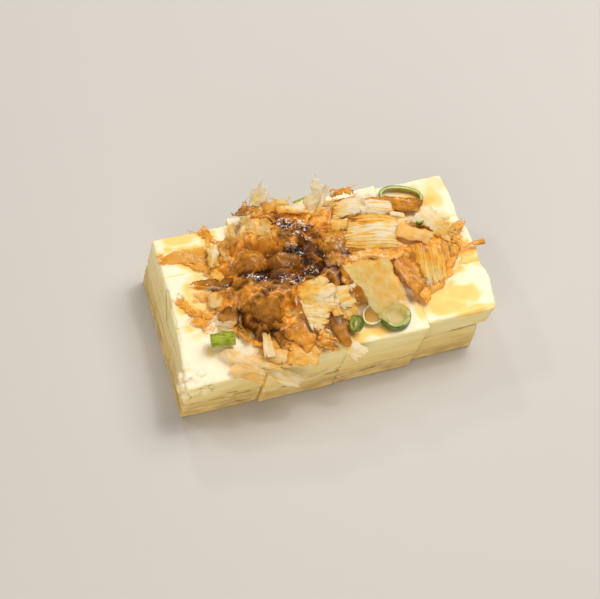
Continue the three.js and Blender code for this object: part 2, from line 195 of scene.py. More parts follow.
def tofu_finish():
    """Moist curd: creamy white where fresh, yellow where soy sauce has soaked in, with the soft
    layers and fine lines that the knife leaves on its sides. The upright sides are painted
    golden and darker towards the foot: partly soy that has crept up, partly painted shade."""
    material, shader, place = new_finish(
        "moist_curd",
        {
            "Subsurface Weight": 0.4,
            "Subsurface Radius": (1.0, 0.9, 0.72),
            "Subsurface Scale": 0.0016,
            "Coat Roughness": 0.12,
            "Specular IOR Level": 0.3,
            "IOR": 1.38,
        },
    )
    layers = place.stretched((0.06, 0.07, 0.42)).mottle(1.1, 3.0, 0.55)
    layers = layers + 0.5 * (place.stretched((0.3, 0.3, 1)).mottle(3.5, 2.0) - 0.5)
    lines = place.stretched((0.07, 0.09, 1.3)).mottle(1.0, 2.0).step(0.62, 0.76)
    streaks = layers - 0.1 * lines
    side = place.given("side")
    soy = place.given("soy")
    cleft = place.given("cleft") * (0.5 + place.mottle(2.5))
    height = place.node("ShaderNodeSeparateXYZ", {}, {0: place}, 2)
    # The upright sides: golden, darker towards the foot and streaked along the knife's layers; partly soy
    # that has crept up, partly painted shade.
    wear_and_side_shade = (0.1 + 0.8 / TOP * height + 0.7 * (streaks - 0.5)).ramp(
        (0.0, (0.48, 0.28, 0.07)),
        (0.45, (0.87, 0.665, 0.255)),
        (0.9, (0.985, 0.87, 0.46)),
    )
    # Unstained curd: creamy white on top, and the golden side colour with its painted shade on the upright
    # faces.
    unstained_with_side_shade = side.between((0.965, 0.835, 0.635), wear_and_side_shade)
    soy = soy + 0.16 * side * (0.5 - streaks) + 0.12 * (place.mottle(7.0) - 0.5)
    stained = soy.ramp(
        (0.0, (0.96, 0.83, 0.52)),
        (0.3, (0.96, 0.64, 0.19)),
        (0.5, (0.94, 0.45, 0.06)),
        (0.68, (0.66, 0.24, 0.02)),
        (0.84, (0.22, 0.06, 0.006)),
        (1.0, (0.06, 0.02, 0.003)),
    )
    curd = soy.step(0.04, 0.3).between(unstained_with_side_shade, stained)
    feed(
        shader,
        # Cracks and the mouths of the level cuts are painted dark golden brown: painted shade in these
        # narrow recesses, with sauce that has seeped in.
        base_color=cleft.step(0.1, 0.9).between(curd, (0.38, 0.22, 0.04)),
        roughness=0.42 - 0.2 * soy.step(0.1, 0.6) + 0.12 * (place.mottle(1.4) - 0.5),
        coat_weight=0.05 + 0.1 * soy.step(0.15, 0.5),
        normal=(side * streaks + 0.35 * place.mottle(0.8, 2.0)).bumps(0.3, 0.5),
    )
    return material


def net_of(node, cell, soften=2):
    """The CAD solid as an even net of small faces with its edges softened, in the block's plan."""
    rough = bpy.data.objects.new("rough_cut", node.data.copy())
    bpy.context.scene.collection.objects.link(rough)
    net = rough.modifiers.new("net", "REMESH")
    net.mode, net.voxel_size = "VOXEL", cell * MM
    soft = rough.modifiers.new("soft", "SMOOTH")
    soft.iterations, soft.factor = soften, 0.5
    even = rough.evaluated_get(bpy.context.evaluated_depsgraph_get()).data
    points = np.array([v.co for v in even.vertices]) / MM - PLAN
    normals = np.array([v.normal for v in even.vertices])
    faces = [list(p.vertices) for p in even.polygons]
    bpy.data.objects.remove(rough)
    return points, normals, faces


# Where soy sauce has soaked into the top, with one patch of painted shade by the stalk: x, y, reach along x
# and y, and strength.
STAINS_AND_SHADE = [
    (-46, 31.5, 12, 4, 0.28),
    (-36, 17, 5, 8, 0.4),
    (-35, -6, 5, 5, 0.4),
    (-31, -15, 7, 6, 0.62),
    (-49, 1, 3.5, 2.5, 0.3),
    (-43, -33, 9, 3, 0.28),
    (50, 26, 8, 5, 0.34),
    (62, 27, 5, 9, 0.26),
    (56, 22, 8, 3, 0.24),
    (60, 14, 7, 6, 0.22),
    (66, -3, 5, 6, 0.42),
    (66, -8.7, 7, 1.4, 0.42),
    (70, -11, 4, 3, 0.24),
    (58, -23, 9, 6, 0.36),
    (50, -28, 11, 5, 0.36),
    (59, -31.5, 12, 2.6, 0.34),
    (46, -21, 8, 7, 0.3),
    (38, -26, 3, 8, 0.26),
    (10, -31, 12, 3.4, 0.28),
    (22, -31, 8, 3.4, 0.34),
    (31, -24, 4, 6, 0.26),
    (52, 31, 9, 4, 0.24),
    (-14, -33, 12, 4, 0.4),
    (62, 5, 6, 6, 0.24),
    # darker curd inside the pale ring of onion
    (18.4, -24.2, 5, 4, 0.38),
    (-43.5, 6.5, 3.4, 1.8, 0.6),
    (-30, -22, 3, 2.5, 0.5),
    # at the left end of the stalk: sauce, and the painted golden shade and light that the stalk throws on
    # the curd
    (-47.6, -23.2, 2.2, 3.2, 0.36),
    (64, 31, 8, 6, 0.22),
    (57, 25, 8, 3.5, 0.36),
]


def soy_and_shade_in_curd(points, normals, toppings):
    """How much soy sauce each point of the curd holds: round the toppings, in the named stains,
    a little on every upright face and more at the foot, from 0 to 1."""
    near = np.full(len(points), 9.0)
    for i in np.nonzero(points[:, 2] > TOP - 4)[0]:
        near[i] = toppings.find_nearest(Vector((points[i] + PLAN) * MM))[3] / MM
    x, y, z = points.T
    upright = smooth(0.95, 0.4, np.abs(normals[:, 2]))
    cloud = lumps(points, 5, 2)
    soy = 0.5 * np.exp(-near / np.maximum(0.5, 1.5 + 1.6 * cloud))
    on_top = smooth(TOP - 3, TOP - 0.6, z)
    for at_x, at_y, reach_x, reach_y, much in STAINS_AND_SHADE:
        far = np.hypot((x - at_x) / reach_x, (y - at_y) / reach_y) + 0.3 * cloud
        soy = np.maximum(soy, on_top * much * smooth(1.3, 0.4, far))
    # Every upright face holds a little, and the foot more: soy that has crept up from below, and painted
    # shade at the foot.
    foot = np.maximum(1.5, 4.5 + 6 * lumps(points, (7, 7, 30), 3))
    soy = np.maximum(soy, upright * (0.06 + 0.2 * smooth(foot, foot * 0.05, z)))
    return np.clip(soy + 0.05 * lumps(points, 4, 4), 0, 1)


# Cracks in the upright faces, from x, y, z to x, y, z, how wide and how dark they are painted:
# painted shade in the crack, with sauce that has seeped in.
CRACKS = [
    ((-44, -34.6, 13.6), (-40, -34.6, 12.6), 0.35, 0.7),
    ((-53, -34.4, 11.4), (-40, -34.4, 8.2), 0.35, 0.6),
    ((-11.5, -36, 13.8), (0.5, -36, 16.4), 0.4, 1.0),
    ((-10, -36, 12.4), (-3, -36, 14.2), 1.0, 0.35),
    ((0.4, -35.4, 13.8), (13, -35.4, 13.6), 0.3, 0.6),
    ((-59.4, 1, 17), (-59, -15, 19.6), 0.4, 0.7),
    ((-59.4, 1.4, 17), (-57.6, 9, 27), 0.5, 0.6),
    ((-58, 0.6, 24), (-59.3, 1.2, 17), 0.4, 0.5),
    ((-60.4, -16, 10), (-60, -29, 12), 0.3, 0.5),
    ((-57.2, 20, 28.4), (-57.4, -24, 28.2), 0.35, 0.45),
    ((-61, -35, 21.6), (-50.6, -36, 25.4), 0.4, 0.6),
]


def cracked(points, normals):
    """How deep each point lies in a crack or in the mouth of a level cut, from 0 to 1."""
    z = points[:, 2]
    flat = np.abs(normals[:, 2])
    mouth = smooth(0.12, 0.4, flat) * smooth(0.98, 0.85, flat)
    deep = mouth * smooth(TOP - 2.5, TOP - 4, z) * smooth(1.2, 2, z)
    deep *= np.clip(0.45 + 0.9 * lumps(points, (9, 9, 30), 10), 0, 1)
    uneven = points + 0.5 * np.stack([0 * z, 0 * z, lumps(points, (4, 4, 9), 16)], 1)
    for start, end, wide, dark in CRACKS:
        way = np.subtract(end, start)
        share = np.clip((uneven - start) @ way / (way @ way), 0, 1)
        far = np.linalg.norm(uneven - start - share[:, None] * way, axis=1)
        deep = np.maximum(deep, dark * smooth(wide * 2.2, wide * 0.6, far))
    return deep


def curd_relief(points, normals):
    """How far the soft cut surface stands out: sagging, knife layers, and chipped edges. A wedge
    has broken out of the top of the left end."""
    x, y, z = points.T
    up = z - 17
    wedge = smooth(0, 0.8, 0.38 * up - np.abs(y - 1 - 0.33 * up)) * smooth(-0.5, -0.8, normals[:, 0])
    sideways = smooth(0.8, 0.4, np.abs(normals[:, 2]))
    sag = 0.28 * lumps(points, 13, 5) + 0.1 * lumps(points, 4, 6)
    streaks = sideways * (lumps(points, (17, 15, 2.6), 7) + 0.5 * lumps(points, (11, 9, 1.1), 8))
    edge = smooth(0.97, 0.8, np.abs(normals).max(1))
    between_cubes = smooth(0.3, 0.5, np.abs(normals[:, 0])) * smooth(0.3, 0.5, np.abs(normals[:, 1]))
    chips = edge * smooth(0.2, 0.5, lumps(points, 2.6, 9)) * (1 - between_cubes)
    relief = CURD_SWELL + sag * 0.5 + 0.15 * streaks - 0.4 * chips + 0.2 * between_cubes
    return relief - 1.1 * wedge * (x < -50) - 0.5 * cracked(points, normals)


# Where the upright cuts meet the top.
CUTS_ACROSS = [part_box(f"tofu_c{n}_r1_upper")[1].x / MM - PLAN[0] for n in (1, 2, 3)]
CUTS_ALONG = [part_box(f"tofu_c1_r{n}_upper")[1].y / MM - PLAN[1] for n in (1, 2)]
# Where the top has sunk at the front left: x, y, reach along x and y, and how deep.
SUNK = (-50.2, -33, 20, 16, 3)


def close_cuts(points):
    """Draws the rounded edges along the cuts up to the level of the top, so that two cubes meet
    there without a groove. The block's outer edges stay round, and its right end is a little
    worn back near the cuts."""
    x, y, z = points.T
    at_x, at_y, reach_x, reach_y, deep = SUNK
    level = TOP - deep * np.exp(-(((x - at_x) / reach_x) ** 2) - ((y - at_y) / reach_y) ** 2)
    off = np.min([np.abs(x - cut) for cut in CUTS_ACROSS] + [np.abs(y - cut) for cut in CUTS_ALONG], 0)
    at_cut = (off < 1.5) & (z > level - 1.3)
    points = points.copy()
    points[:, 2] = np.where(at_cut, level - 0.12, z)
    to_cut = np.min([np.abs(y - cut) for cut in (FRONT, *CUTS_ALONG)], 0)
    wear_and_side_shade = 1.5 * np.exp(-((to_cut / 4) ** 2)) - 0.7 * lumps(points, (30, 8, 14), 17)
    points[:, 0] -= smooth(54, 67, x) * wear_and_side_shade
    return points


tofu_nodes = [name for name in sorted(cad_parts) if name.startswith("tofu_")]
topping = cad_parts["bonito_shavings"].data
toppings = BVHTree.FromPolygons(
    [v.co for v in topping.vertices],
    [list(p.vertices) for p in topping.polygons if p.center.z > (TOP + 0.9) * MM],
)
moist_curd = tofu_finish()
for name in tofu_nodes:
    points, normals, faces = net_of(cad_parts[name], CURD_NET)
    points = close_cuts(points)
    soy = soy_and_shade_in_curd(points, normals, toppings)
    # Upright and overhanging faces, which the finish paints golden, partly as painted shade.
    side = smooth(0.85, 0.5, normals[:, 2])
    cleft = cracked(points, normals)
    points = points + normals * curd_relief(points, normals)[:, None]
    points[:, 2] = np.maximum(points[:, 2], 0)
    piece(name + "_curd", points, faces, moist_curd, "tofu", [name], soy=soy, side=side, cleft=cleft)

# ---------------------------------------------------------------- crumbled curd
# The front left corner has broken into soft crumbs of the same curd, which have run together
# again where they are pressed into the break.

CRUMB_NET = 0.4  # finer than the curd's net

# The crumbs along the broken edge: x, y, z, and half their size each way.
CRUMBS = [
    (-57.6, -30.4, 24.8, 3.2, 3.4, 2.8),
    (-59.6, -32.8, 22.6, 2.6, 2.4, 2.8),
    (-59.8, -29.2, 22.8, 2.4, 3.4, 3.2),
    (-55.0, -32.9, 24.2, 3.2, 2.6, 2.6),
    (-52.4, -34.1, 23.9, 2.8, 2.2, 2.4),
    (-49.8, -34.2, 24.2, 2.4, 1.9, 2.2),
    (-56.2, -34.7, 21.8, 3.4, 2.0, 2.8),
    (-60.4, -34.6, 19.2, 2.2, 2.0, 3.4),
    (-61.0, -31.0, 19.4, 1.9, 3.0, 3.6),
    (-52.6, -35.4, 21.2, 3.0, 1.5, 2.6),
    (-56.8, -27.2, 25.9, 2.6, 2.8, 1.7),
    (-53.2, -30.6, 26.2, 2.4, 1.7, 1.3),
    (-59.4, -34.2, 24.0, 1.3, 1.1, 1.1),
    (-58.2, -27.0, 26.8, 1.6, 1.4, 1.0),
]


def crumb(at, size, seed):
    """A lumpy bit of curd: a ball of small faces, pushed in and out."""
    net = bmesh.new()
    bmesh.ops.create_icosphere(net, subdivisions=3, radius=1)
    points = np.array([v.co for v in net.verts])
    faces = [[v.index for v in f.verts] for f in net.faces]
    net.free()
    out = 1 + 0.25 * lumps(points, 0.9, seed)
    return points * out[:, None] * size + at, faces


def together(parts):
    """Several (points, faces) as one."""
    points, faces, count = [], [], 0
    for some, theirs in parts:
        points.append(some)
        faces += [[i + count for i in f] for f in theirs]
        count += len(some)
    return np.concatenate(points), faces


middles, sizes = np.split(np.array(CRUMBS), 2, axis=1)
points, faces = together([crumb(at, size, i) for i, (at, size) in enumerate(zip(middles, sizes))])
mesh = bpy.data.meshes.new("crumbs")
mesh.from_pydata(((points + PLAN) * MM).tolist(), [], faces)
points, normals, faces = net_of(bpy.data.objects.new("crumbs", mesh), CRUMB_NET, 4)
reach = np.sort(np.linalg.norm((points[:, None] - middles) / sizes, axis=2), axis=1)
between = smooth(0.35, 0.05, reach[:, 1] - reach[:, 0])  # 1 in the creases between two crumbs
rough = 0.3 * lumps(points, 1.9, 40) + 0.12 * lumps(points, 0.8, 43) - 0.35 * between
points = points + normals * rough[:, None]
soy = 0.03 + 0.12 * smooth(23, 19, points[:, 2]) + 0.06 * smooth(0.3, 0.7, lumps(points, 2, 41))
piece(
    "crumbled_curd", points, faces, moist_curd, "tofu", ["tofu_c1_r1_upper"],
    # The creases between the crumbs are painted more golden: painted shade, carried in the soy value.
    soy=soy + 0.12 * between,
    # Their upright and lower faces take the tofu's golden side colour, partly as painted shade.
    side=0.85 * smooth(0.85, 0.2, normals[:, 2]),
    cleft=0.4 * smooth(-0.25, -0.6, lumps(points, (3, 3, 1.6), 42)),
)

# ---------------------------------------------------------------- the soaked middle of the heap
# Bonito is dried, smoked fish, shaved into flakes thinner than paper. Sauce was poured over the
# middle of the heap, where the flakes have sunk together into a dark, wet, wrinkled mass.

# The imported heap: low domes, x, y, reach along x and y, and height.
DOMES = [
    (12, 4, 34, 22, 9.5),
    (-18, 2, 17, 17, 8),
    (-10, -22, 22, 10, 3),
    (-43, 4, 13, 22, 0.5),
    (-32, -31, 9, 4, 0.8),
    (51, 1, 16, 16, 4.5),
    (12, 23, 33, 10, 9.5),
    (-13, 28, 10, 6, 8.5),
]
# Rounded, soaked lumps in it, in the same terms.
LUMPS = [
    (-22, 7, 8.5, 8, 11.8),
    (-10, 3, 10, 8.5, 12.6),
    (0, 1, 8, 6.5, 12),
    (-4, 13, 9, 7, 13.6),
    (-13, 16, 8, 6, 12.8),
    (9, 8, 7, 7, 12.4),
    (-23, -14, 9, 8.5, 8.8),
    (-21, 20, 7, 7, 8.5),
    (-33, 14, 6, 8, 4.4),
    (-34, -3, 6, 7, 4.4),
    (-12, -28, 9, 6, 4),
    (46, -9, 10, 11, 6.2),
]
# Where the sauce ran, one run over the other: from x, y to x, y, how wide, and how soaked it
# left the flakes.
SAUCE = [
    (-30, 26, -26, 9, 5, 0.22),
    (-22, 10, 5, 5.5, 15, 0.56),
    (-41, 17, -24, 18.5, 7, 0.36),
    (-30, -12, -11.5, -14.5, 9, 0.54),
    (-28, -29.5, -4.5, -36, 6, 0.38),
    (15.5, 2.5, 13, 16, 6, 0.34),
    (20, -1, 34, -5, 4, 0.34),
    (-16, 5, -4.5, 0, 6, 0.74),
    (-0.5, 13, 1.5, 2.5, 5, 0.9),
    (-4.5, 16.5, -1, 14.5, 2, 0.96),
    (-13, 9.5, -3, 6.5, 2, 0.86),
    (-1.5, 1, 4.5, -0.5, 3.5, 0.8),
    (-25.5, 1.5, -18.5, -2, 1.8, 1.0),
    (-19, -2.5, -5, -5, 2.2, 1.0),
    (-5, -6, 2.5, -2.5, 2, 0.92),
    (-27.5, -3.5, -6, -8, 2, 0.72),
    (-28, -11, -19, -16.5, 6, 0.62),
    (-33.5, -12, -26, -20.5, 3.6, 0.84),
    (-26, -21, -17.5, -26, 2.6, 0.84),
    (-20.5, 34, -11.5, 30.5, 2, 0.66),
    (-11.5, 30.5, 2, 21.5, 3, 0.72),
    (-45, 4.5, -29, 0, 2, 0.66),
    (13, 7, 15.5, 1.5, 2, 0.75),
    (8.5, -4, 10, -9.5, 2, 0.9),
    (-1.5, -28, 4, -34, 4, 0.55),
    (-15, 17, -9, 12, 3.5, 0.42),
    (-23, 11, -21.5, 6.5, 3, 0.46),
    (-28, 4, -21.5, -1, 1.4, 0.92),
    (-16.5, 2.5, -10, 0.5, 1.5, 0.56),
    (-8, 19.5, 2.5, 14, 2, 0.52),
    (-21.5, -12.5, -17.5, -18.5, 3.5, 0.44),
    (-19.5, 24.5, -13.5, 19, 2.5, 0.22),
    (-23, 33.5, -23.5, 23, 2, 0.15),
    (-50, 22.5, -38.5, 19.5, 3, 0.33),
    (-50.5, 4, -47, -6.5, 4.5, 0.34),
    (-43.5, -1, -32, -4, 2.5, 0.3),
    (-47, -7, -38, -10.5, 3.5, 0.36),
    (-31, 31.5, -39.5, 10, 2, 0.3),
    (56, 1, 62, -8, 7, 0.34),
    (40, -16, 50, -18, 4, 0.3),
    (22, -8, 26, -20, 7, 0.34),
    (-8, 1, 2.5, -1.5, 3.6, 0.95),
    (-8, 14.5, -3, 12.5, 2.2, 0.9),
    (-13, -15.5, -7, -15, 2.4, 0.26),
    (-11, -19.5, -7, -21.5, 2.2, 0.24),
    (-12, 27, -5, 24.5, 2.2, 0.62),
    (-30.5, -16, -27, -23, 2, 0.95),
    (-35.5, -2.5, -32.5, -4, 1.8, 0.5),
    (-2, 7.5, 3, 5, 1.8, 1.1),
    (3, 17.5, 6.5, 11.5, 2, 0.86),
    (6, 17, 10, 15, 1.6, 0.66),
    (-19, 0.5, -8, -1.5, 2, 1.05),
    (-26, 21, -21, 17.5, 2, 0.55),
    (1, 4.5, 4, 1.5, 1.8, 0.9),
    (-12, -9.5, -5, -11, 2, 0.36),
    (-1, 1, 2.5, -1.5, 2.2, 1.25),
    (-35, -0.5, -30, -2.5, 1.8, 0.6),
    (-34.5, 14, -32, 12.5, 1.8, 0.55),
    (-5.5, 15, -1.5, 14, 2.2, 0.95),
    (6, -7, 9, -9, 2.2, 1.0),
    (-19.5, 13.5, -14, 10.5, 1.8, 0.44),
    (9, 19.5, 12, 18.5, 1.8, 0.48),
    (14, 26, 17, 24.5, 1.6, 0.08),
    (17, 13.5, 20, 12.5, 1.6, 0.1),
    (-26, 20.5, -23, 19.5, 1.8, 0.5),
    (42, 4.5, 45, 4, 1.8, 0.12),
    (-14, -10, -11.5, -10.5, 1.6, 0.6),
    (-31, 1.5, -25, -0.5, 2.2, 0.85),
    (-29.5, -3, -26.5, -3, 1.5, 0.75),
    (-19, -7, -12, -8.5, 1.8, 0.72),
    (-17, 26.5, -14, 25, 1.5, 0.14),
    (-9, -25, -6, -25.5, 2, 0.14),
    (11.5, -9, 14, -10.5, 1.6, 0.26),
    (-26.5, 1.5, -22, 0.5, 2, 1.05),
    (-36, -0.5, -32, -4.5, 2.2, 0.8),
    (-9.5, 26.5, -5, 24, 2.2, 0.95),
    (-29.5, -18, -27, -22.5, 2, 1.05),
]
# Where small white highlights are painted on the wet flakes, in the same terms, with how much at the end.
PAINTED_GLITTER = [
    (-25.5, 1.8, -19.5, -0.5, 1.5, 0.8),
    (-12.3, -3, -6, -4.8, 2, 0.85),
    (-26, -2.5, -16.5, -6.5, 2.2, 0.5),
    (-13.5, 6.2, -9, 4.5, 1.3, 0.8),
    (-4.8, 22, -6.5, 16, 1.5, 0.7),
    (-4.5, 14.5, 3, 12.5, 1.5, 0.8),
    (-7, 9.5, -3, 7, 1.8, 0.9),
    (-3, -2, 1, -3.5, 1.2, 0.9),
    (6, 2.5, 7.5, -2, 1.2, 0.7),
    (-5.5, 24, 2.5, 20, 2.5, 0.9),
    (13, 7, 15.5, 1.5, 2.5, 0.8),
    (14.5, -1, 33, -5, 2, 0.8),
    (-25.5, -25.5, -3, -37, 5, 0.5),
    (-48, 23, -39.5, 17.5, 3, 0.7),
    (-47, 16.5, -40.5, 11.5, 2, 0.7),
    (-20, 35.5, -18, 32, 2, 0.9),
    (-41.5, 5.5, -34, 1.5, 1.3, 0.9),
    (-31.5, -8, -27, -8.5, 2.5, 0.6),
    (-5.5, -22, 1.5, -27.5, 2, 0.7),
    (-33.5, 19.5, -29, 11.5, 2, 0.8),
    (-46, -1.5, -41, -8, 3, 0.5),
]

# An even net over the whole block, on which the heap's height and the sauce are worked out.
NET = 0.42
net_x, net_y = np.arange(-72, 82, NET), np.arange(-48, 46, NET)
net = np.array([(x, y, 0.0) for x in net_x for y in net_y])


def hills(points, rows, height=0.0):
    """Height of the highest of those domes over each point, or that height where it is more."""
    for x, y, reach_x, reach_y, high in rows:
        inside = 1 - ((points[:, 0] - x) / reach_x) ** 2 - ((points[:, 1] - y) / reach_y) ** 2
        height = np.maximum(height, high * np.maximum(0, inside) ** 0.6)
    return height


def blurred(values, reach):
    """The net's values, each softened by those round it over that many mm."""
    field = values.reshape(len(net_x), len(net_y))
    steps = np.arange(-3 * reach, 3 * reach + NET, NET)
    weight = np.exp(-((steps / reach) ** 2) / 2)
    for axis in (0, 1):
        field = np.apply_along_axis(np.convolve, axis, field, weight / weight.sum(), "same")
    return field.ravel()


def under(values, points):
    """The net's value under each point, between the four corners round it."""
    i = np.clip((points[:, 0] - net_x[0]) / NET, 0, len(net_x) - 1.01)
    j = np.clip((points[:, 1] - net_y[0]) / NET, 0, len(net_y) - 1.01)
    a, b = i.astype(int), j.astype(int)
    f, g = i - a, j - b
    at = a * len(net_y) + b
    near = values[at] * (1 - g) + values[at + 1] * g
    return near * (1 - f) + (values[at + len(net_y)] * (1 - g) + values[at + len(net_y) + 1] * g) * f


def runs(rows, start, edge):
    """The net's values where those runs lie over each other. edge is noise in their outlines."""
    values = start + np.zeros(len(net))
    for x, y, to_x, to_y, wide, much in rows:
        way = np.array((to_x - x, to_y - y))
        off = net[:, :2] - (x, y)
        share = np.clip(off @ way / (way @ way), 0, 1)
        far = np.linalg.norm(off - share[:, None] * way, axis=1) / wide + edge
        values += (much - values) * smooth(1.5, 0.6, far)
    return values


def swayed(size, seed):
    """How far noise pushes each point of the net aside, along x and y."""
    return np.stack([lumps(net, size, seed), lumps(net, size, seed + 1), net[:, 2]], 1)


# The heap: its domes with wandering outlines, then sharp folds and creases over them.
wander = net + 1.9 * swayed(6, 51) + 0.6 * swayed(2, 53)
packed = blurred(hills(wander, LUMPS, hills(net + 1.8 * swayed(5, 64), DOMES)), 0.8)
folds = 1 - 2.4 * np.abs(lumps(wander, (6.5, 4, 5), 11))
creases = 1 - 2.4 * np.abs(lumps(wander, (2.6, 1.7, 5), 12))
folds = 0.75 * folds + 0.32 * creases + 0.12 * lumps(net, 0.7, 55)
heap = packed + smooth(0.1, 3, packed) * folds

# The sauce, with frayed edges. The hollows round the lumps are darker: more sauce has gathered there, and
# they are painted in shade.
edge = 0.3 * lumps(net, 3.5, 56) + 0.22 * lumps(net, 1.4, 57)
soaked = runs(SAUCE, 0.16 + 0.12 * smooth(0.3, 3, packed), edge)
hollow = np.clip(blurred(packed, 3) - packed, -0.8, 2.5)
soaked = soaked + 0.15 * hollow * smooth(0.3, 0.55, soaked)
glitter = runs(PAINTED_GLITTER, 0, edge)


def heap_top(points):
    """Height of the wet, wrinkled heap, or of the tofu, under each point."""
    return TOP + under(heap, points)


def fish_finish(name, roughness, glow, tint=(1, 1, 1)):
    """Shaved dried fish. Dry it is pale and fibrous; soaked it turns amber, brown and almost
    black, and shines. film is how thick and so how dense it is, ribbed how clearly thin brown
    lines show on it, and the glitter value how thickly small white specks of painted highlight stand on it,
    from 0 to 1."""
    material, shader, place = new_finish(
        name,
        {
            "Subsurface Weight": glow,
            "Subsurface Scale": 0.0008,
            "Subsurface Radius": (1, 0.9, 0.8),
            "Specular IOR Level": 0.14,
            "Coat Roughness": 0.06,
        },
    )
    grain = place.given("grain", 1)
    fibres = grain.stretched((0.12, 1.5, 1)).mottle(0.9, 4.0, 0.65)
    bands = grain.stretched((0.3, 0.8, 1)).mottle(2.6, 2.0)
    soak = place.given("soak")
    blotches = place.mottle(3.4, 4.0, 0.55)
    wet = (soak + 0.3 * (blotches - 0.5)).step(0.22, 0.5)
    crinkles = place.mottle(1.0, 4.0, 0.65)
    tone = soak + (0.2 - 0.1 * wet) * (fibres - 0.5) + 0.16 * (bands - 0.5) + 0.24 * (blotches - 0.5)
    tone = tone + 0.2 * wet * (crinkles - 0.5)
    lines = grain.stretched((0.05, 0.5, 1)).mottle(1.0, 1.0) - 0.5
    lines = lines.maths("ABSOLUTE", lines).step(0.07, 0.02)
    tone = tone + 0.26 * place.given("ribbed") * lines * (bands + 0.5)
    colour = tone.ramp(
        (0.0, (0.985, 0.82, 0.53)),
        (0.12, (0.975, 0.68, 0.29)),
        (0.26, (0.96, 0.51, 0.10)),
        (0.4, (0.92, 0.36, 0.03)),
        (0.54, (0.60, 0.235, 0.024)),
        (0.68, (0.34, 0.125, 0.011)),
        (0.84, (0.13, 0.038, 0.003)),
        (1.0, (0.045, 0.012, 0.001)),
    )
    fine = (0.8 - 0.5 * wet) * fibres + 0.5 * crinkles * wet
    # Small white specks painted into the colour: painted highlights of the wet sauce.
    painted_glints = place.stretched((0.6, 1, 1)).mottle(0.75, 3.0, 0.75) + 0.25 * place.given("glitter")
    painted_glints = painted_glints.step(0.77, 0.8)
    feed(
        shader,
        base_color=painted_glints.between(colour.stretched(tint), (0.97, 0.92, 0.88)),
        roughness=roughness - (roughness - 0.2) * wet + 0.12 * (blotches - 0.5),
        coat_weight=(0.42 - 0.24 * tone.step(0.5, 0.8)) * wet,
        alpha=place.given("film") + 0.25 * (blotches - 0.5),
        normal=fine.bumps(0.5),
    )
    return material


wet_fish = fish_finish("soaked_bonito", 0.4, 0.3)

# The mass is a sheet over the net, lacy at its rim, with a flat underside on the curd.
lacy = 0.7 + 1.1 * lumps(net, 3.4, 58) + 0.5 * lumps(net, 1.3, 59)
lacy += 1.6 * smooth(53, 60, net[:, 0]) * smooth(3, -5, net[:, 1])
kept = (packed > 0.2 + lacy) & (heap > 0.3)
spots = np.arange(len(net)).reshape(len(net_x), len(net_y))
quads = np.stack([spots[:-1, :-1], spots[1:, :-1], spots[1:, 1:], spots[:-1, 1:]], -1)
quads = quads.reshape(-1, 4)
quads = quads[kept[quads].all(1)]
used, core_faces = np.unique(quads, return_inverse=True)
core_faces = core_faces.reshape(quads.shape)


def closed(above, below, faces):
    """A solid between two sheets of the same faces, with a rim all round."""
    count = len(above)
    sides = {(f[i - 1], f[i]) for f in faces.tolist() for i in range(len(f))}
    rim = [[b, a, a + count, b + count] for a, b in sides if (b, a) not in sides]
    underside = faces[:, ::-1] + count
    return np.concatenate([above, below]), faces.tolist() + underside.tolist() + sorted(rim)


top = net[used] + np.stack([0 * used, 0 * used, TOP - 0.25 + heap[used]], 1)
points, faces = closed(top, top * (1, 1, 0) + (0, 0, TOP + 0.03), core_faces)
# The crests of the folds are painted paler and the creases darker: painted highlight and shade.
soak_and_fold_shade = soaked - (0.06 + 0.34 * soaked) * folds + 0.05
piece(
    "soaked_middle", points, faces, wet_fish, "shavings", ["bonito_shavings"],
    soak=np.tile(soak_and_fold_shade[used], 2), glitter=np.tile(glitter[used], 2),
    grain=points * (1, 1, 0), film=np.ones(len(points)), ribbed=np.zeros(len(points)),
)

# ---------------------------------------------------------------- the bonito shavings
# Each flake is a torn curl of dried fish, with fibres along it. Its ends are torn into tips and
# its sides are ragged; some stand up dry and pale, the others lie wet on what is under them.

FLAKE_THICKNESS = 0.08
FLAKE_STEP = 0.36  # between two points of a flake's outline

# Each column of cubes: where its front is, and its right end.
front_cubes = [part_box(f"tofu_c{n}_r1_upper") for n in (1, 2, 3, 4)]
FRONT_OF_COLUMN = [(low.y / MM - PLAN[1], high.x / MM - PLAN[0]) for low, high in front_cubes]


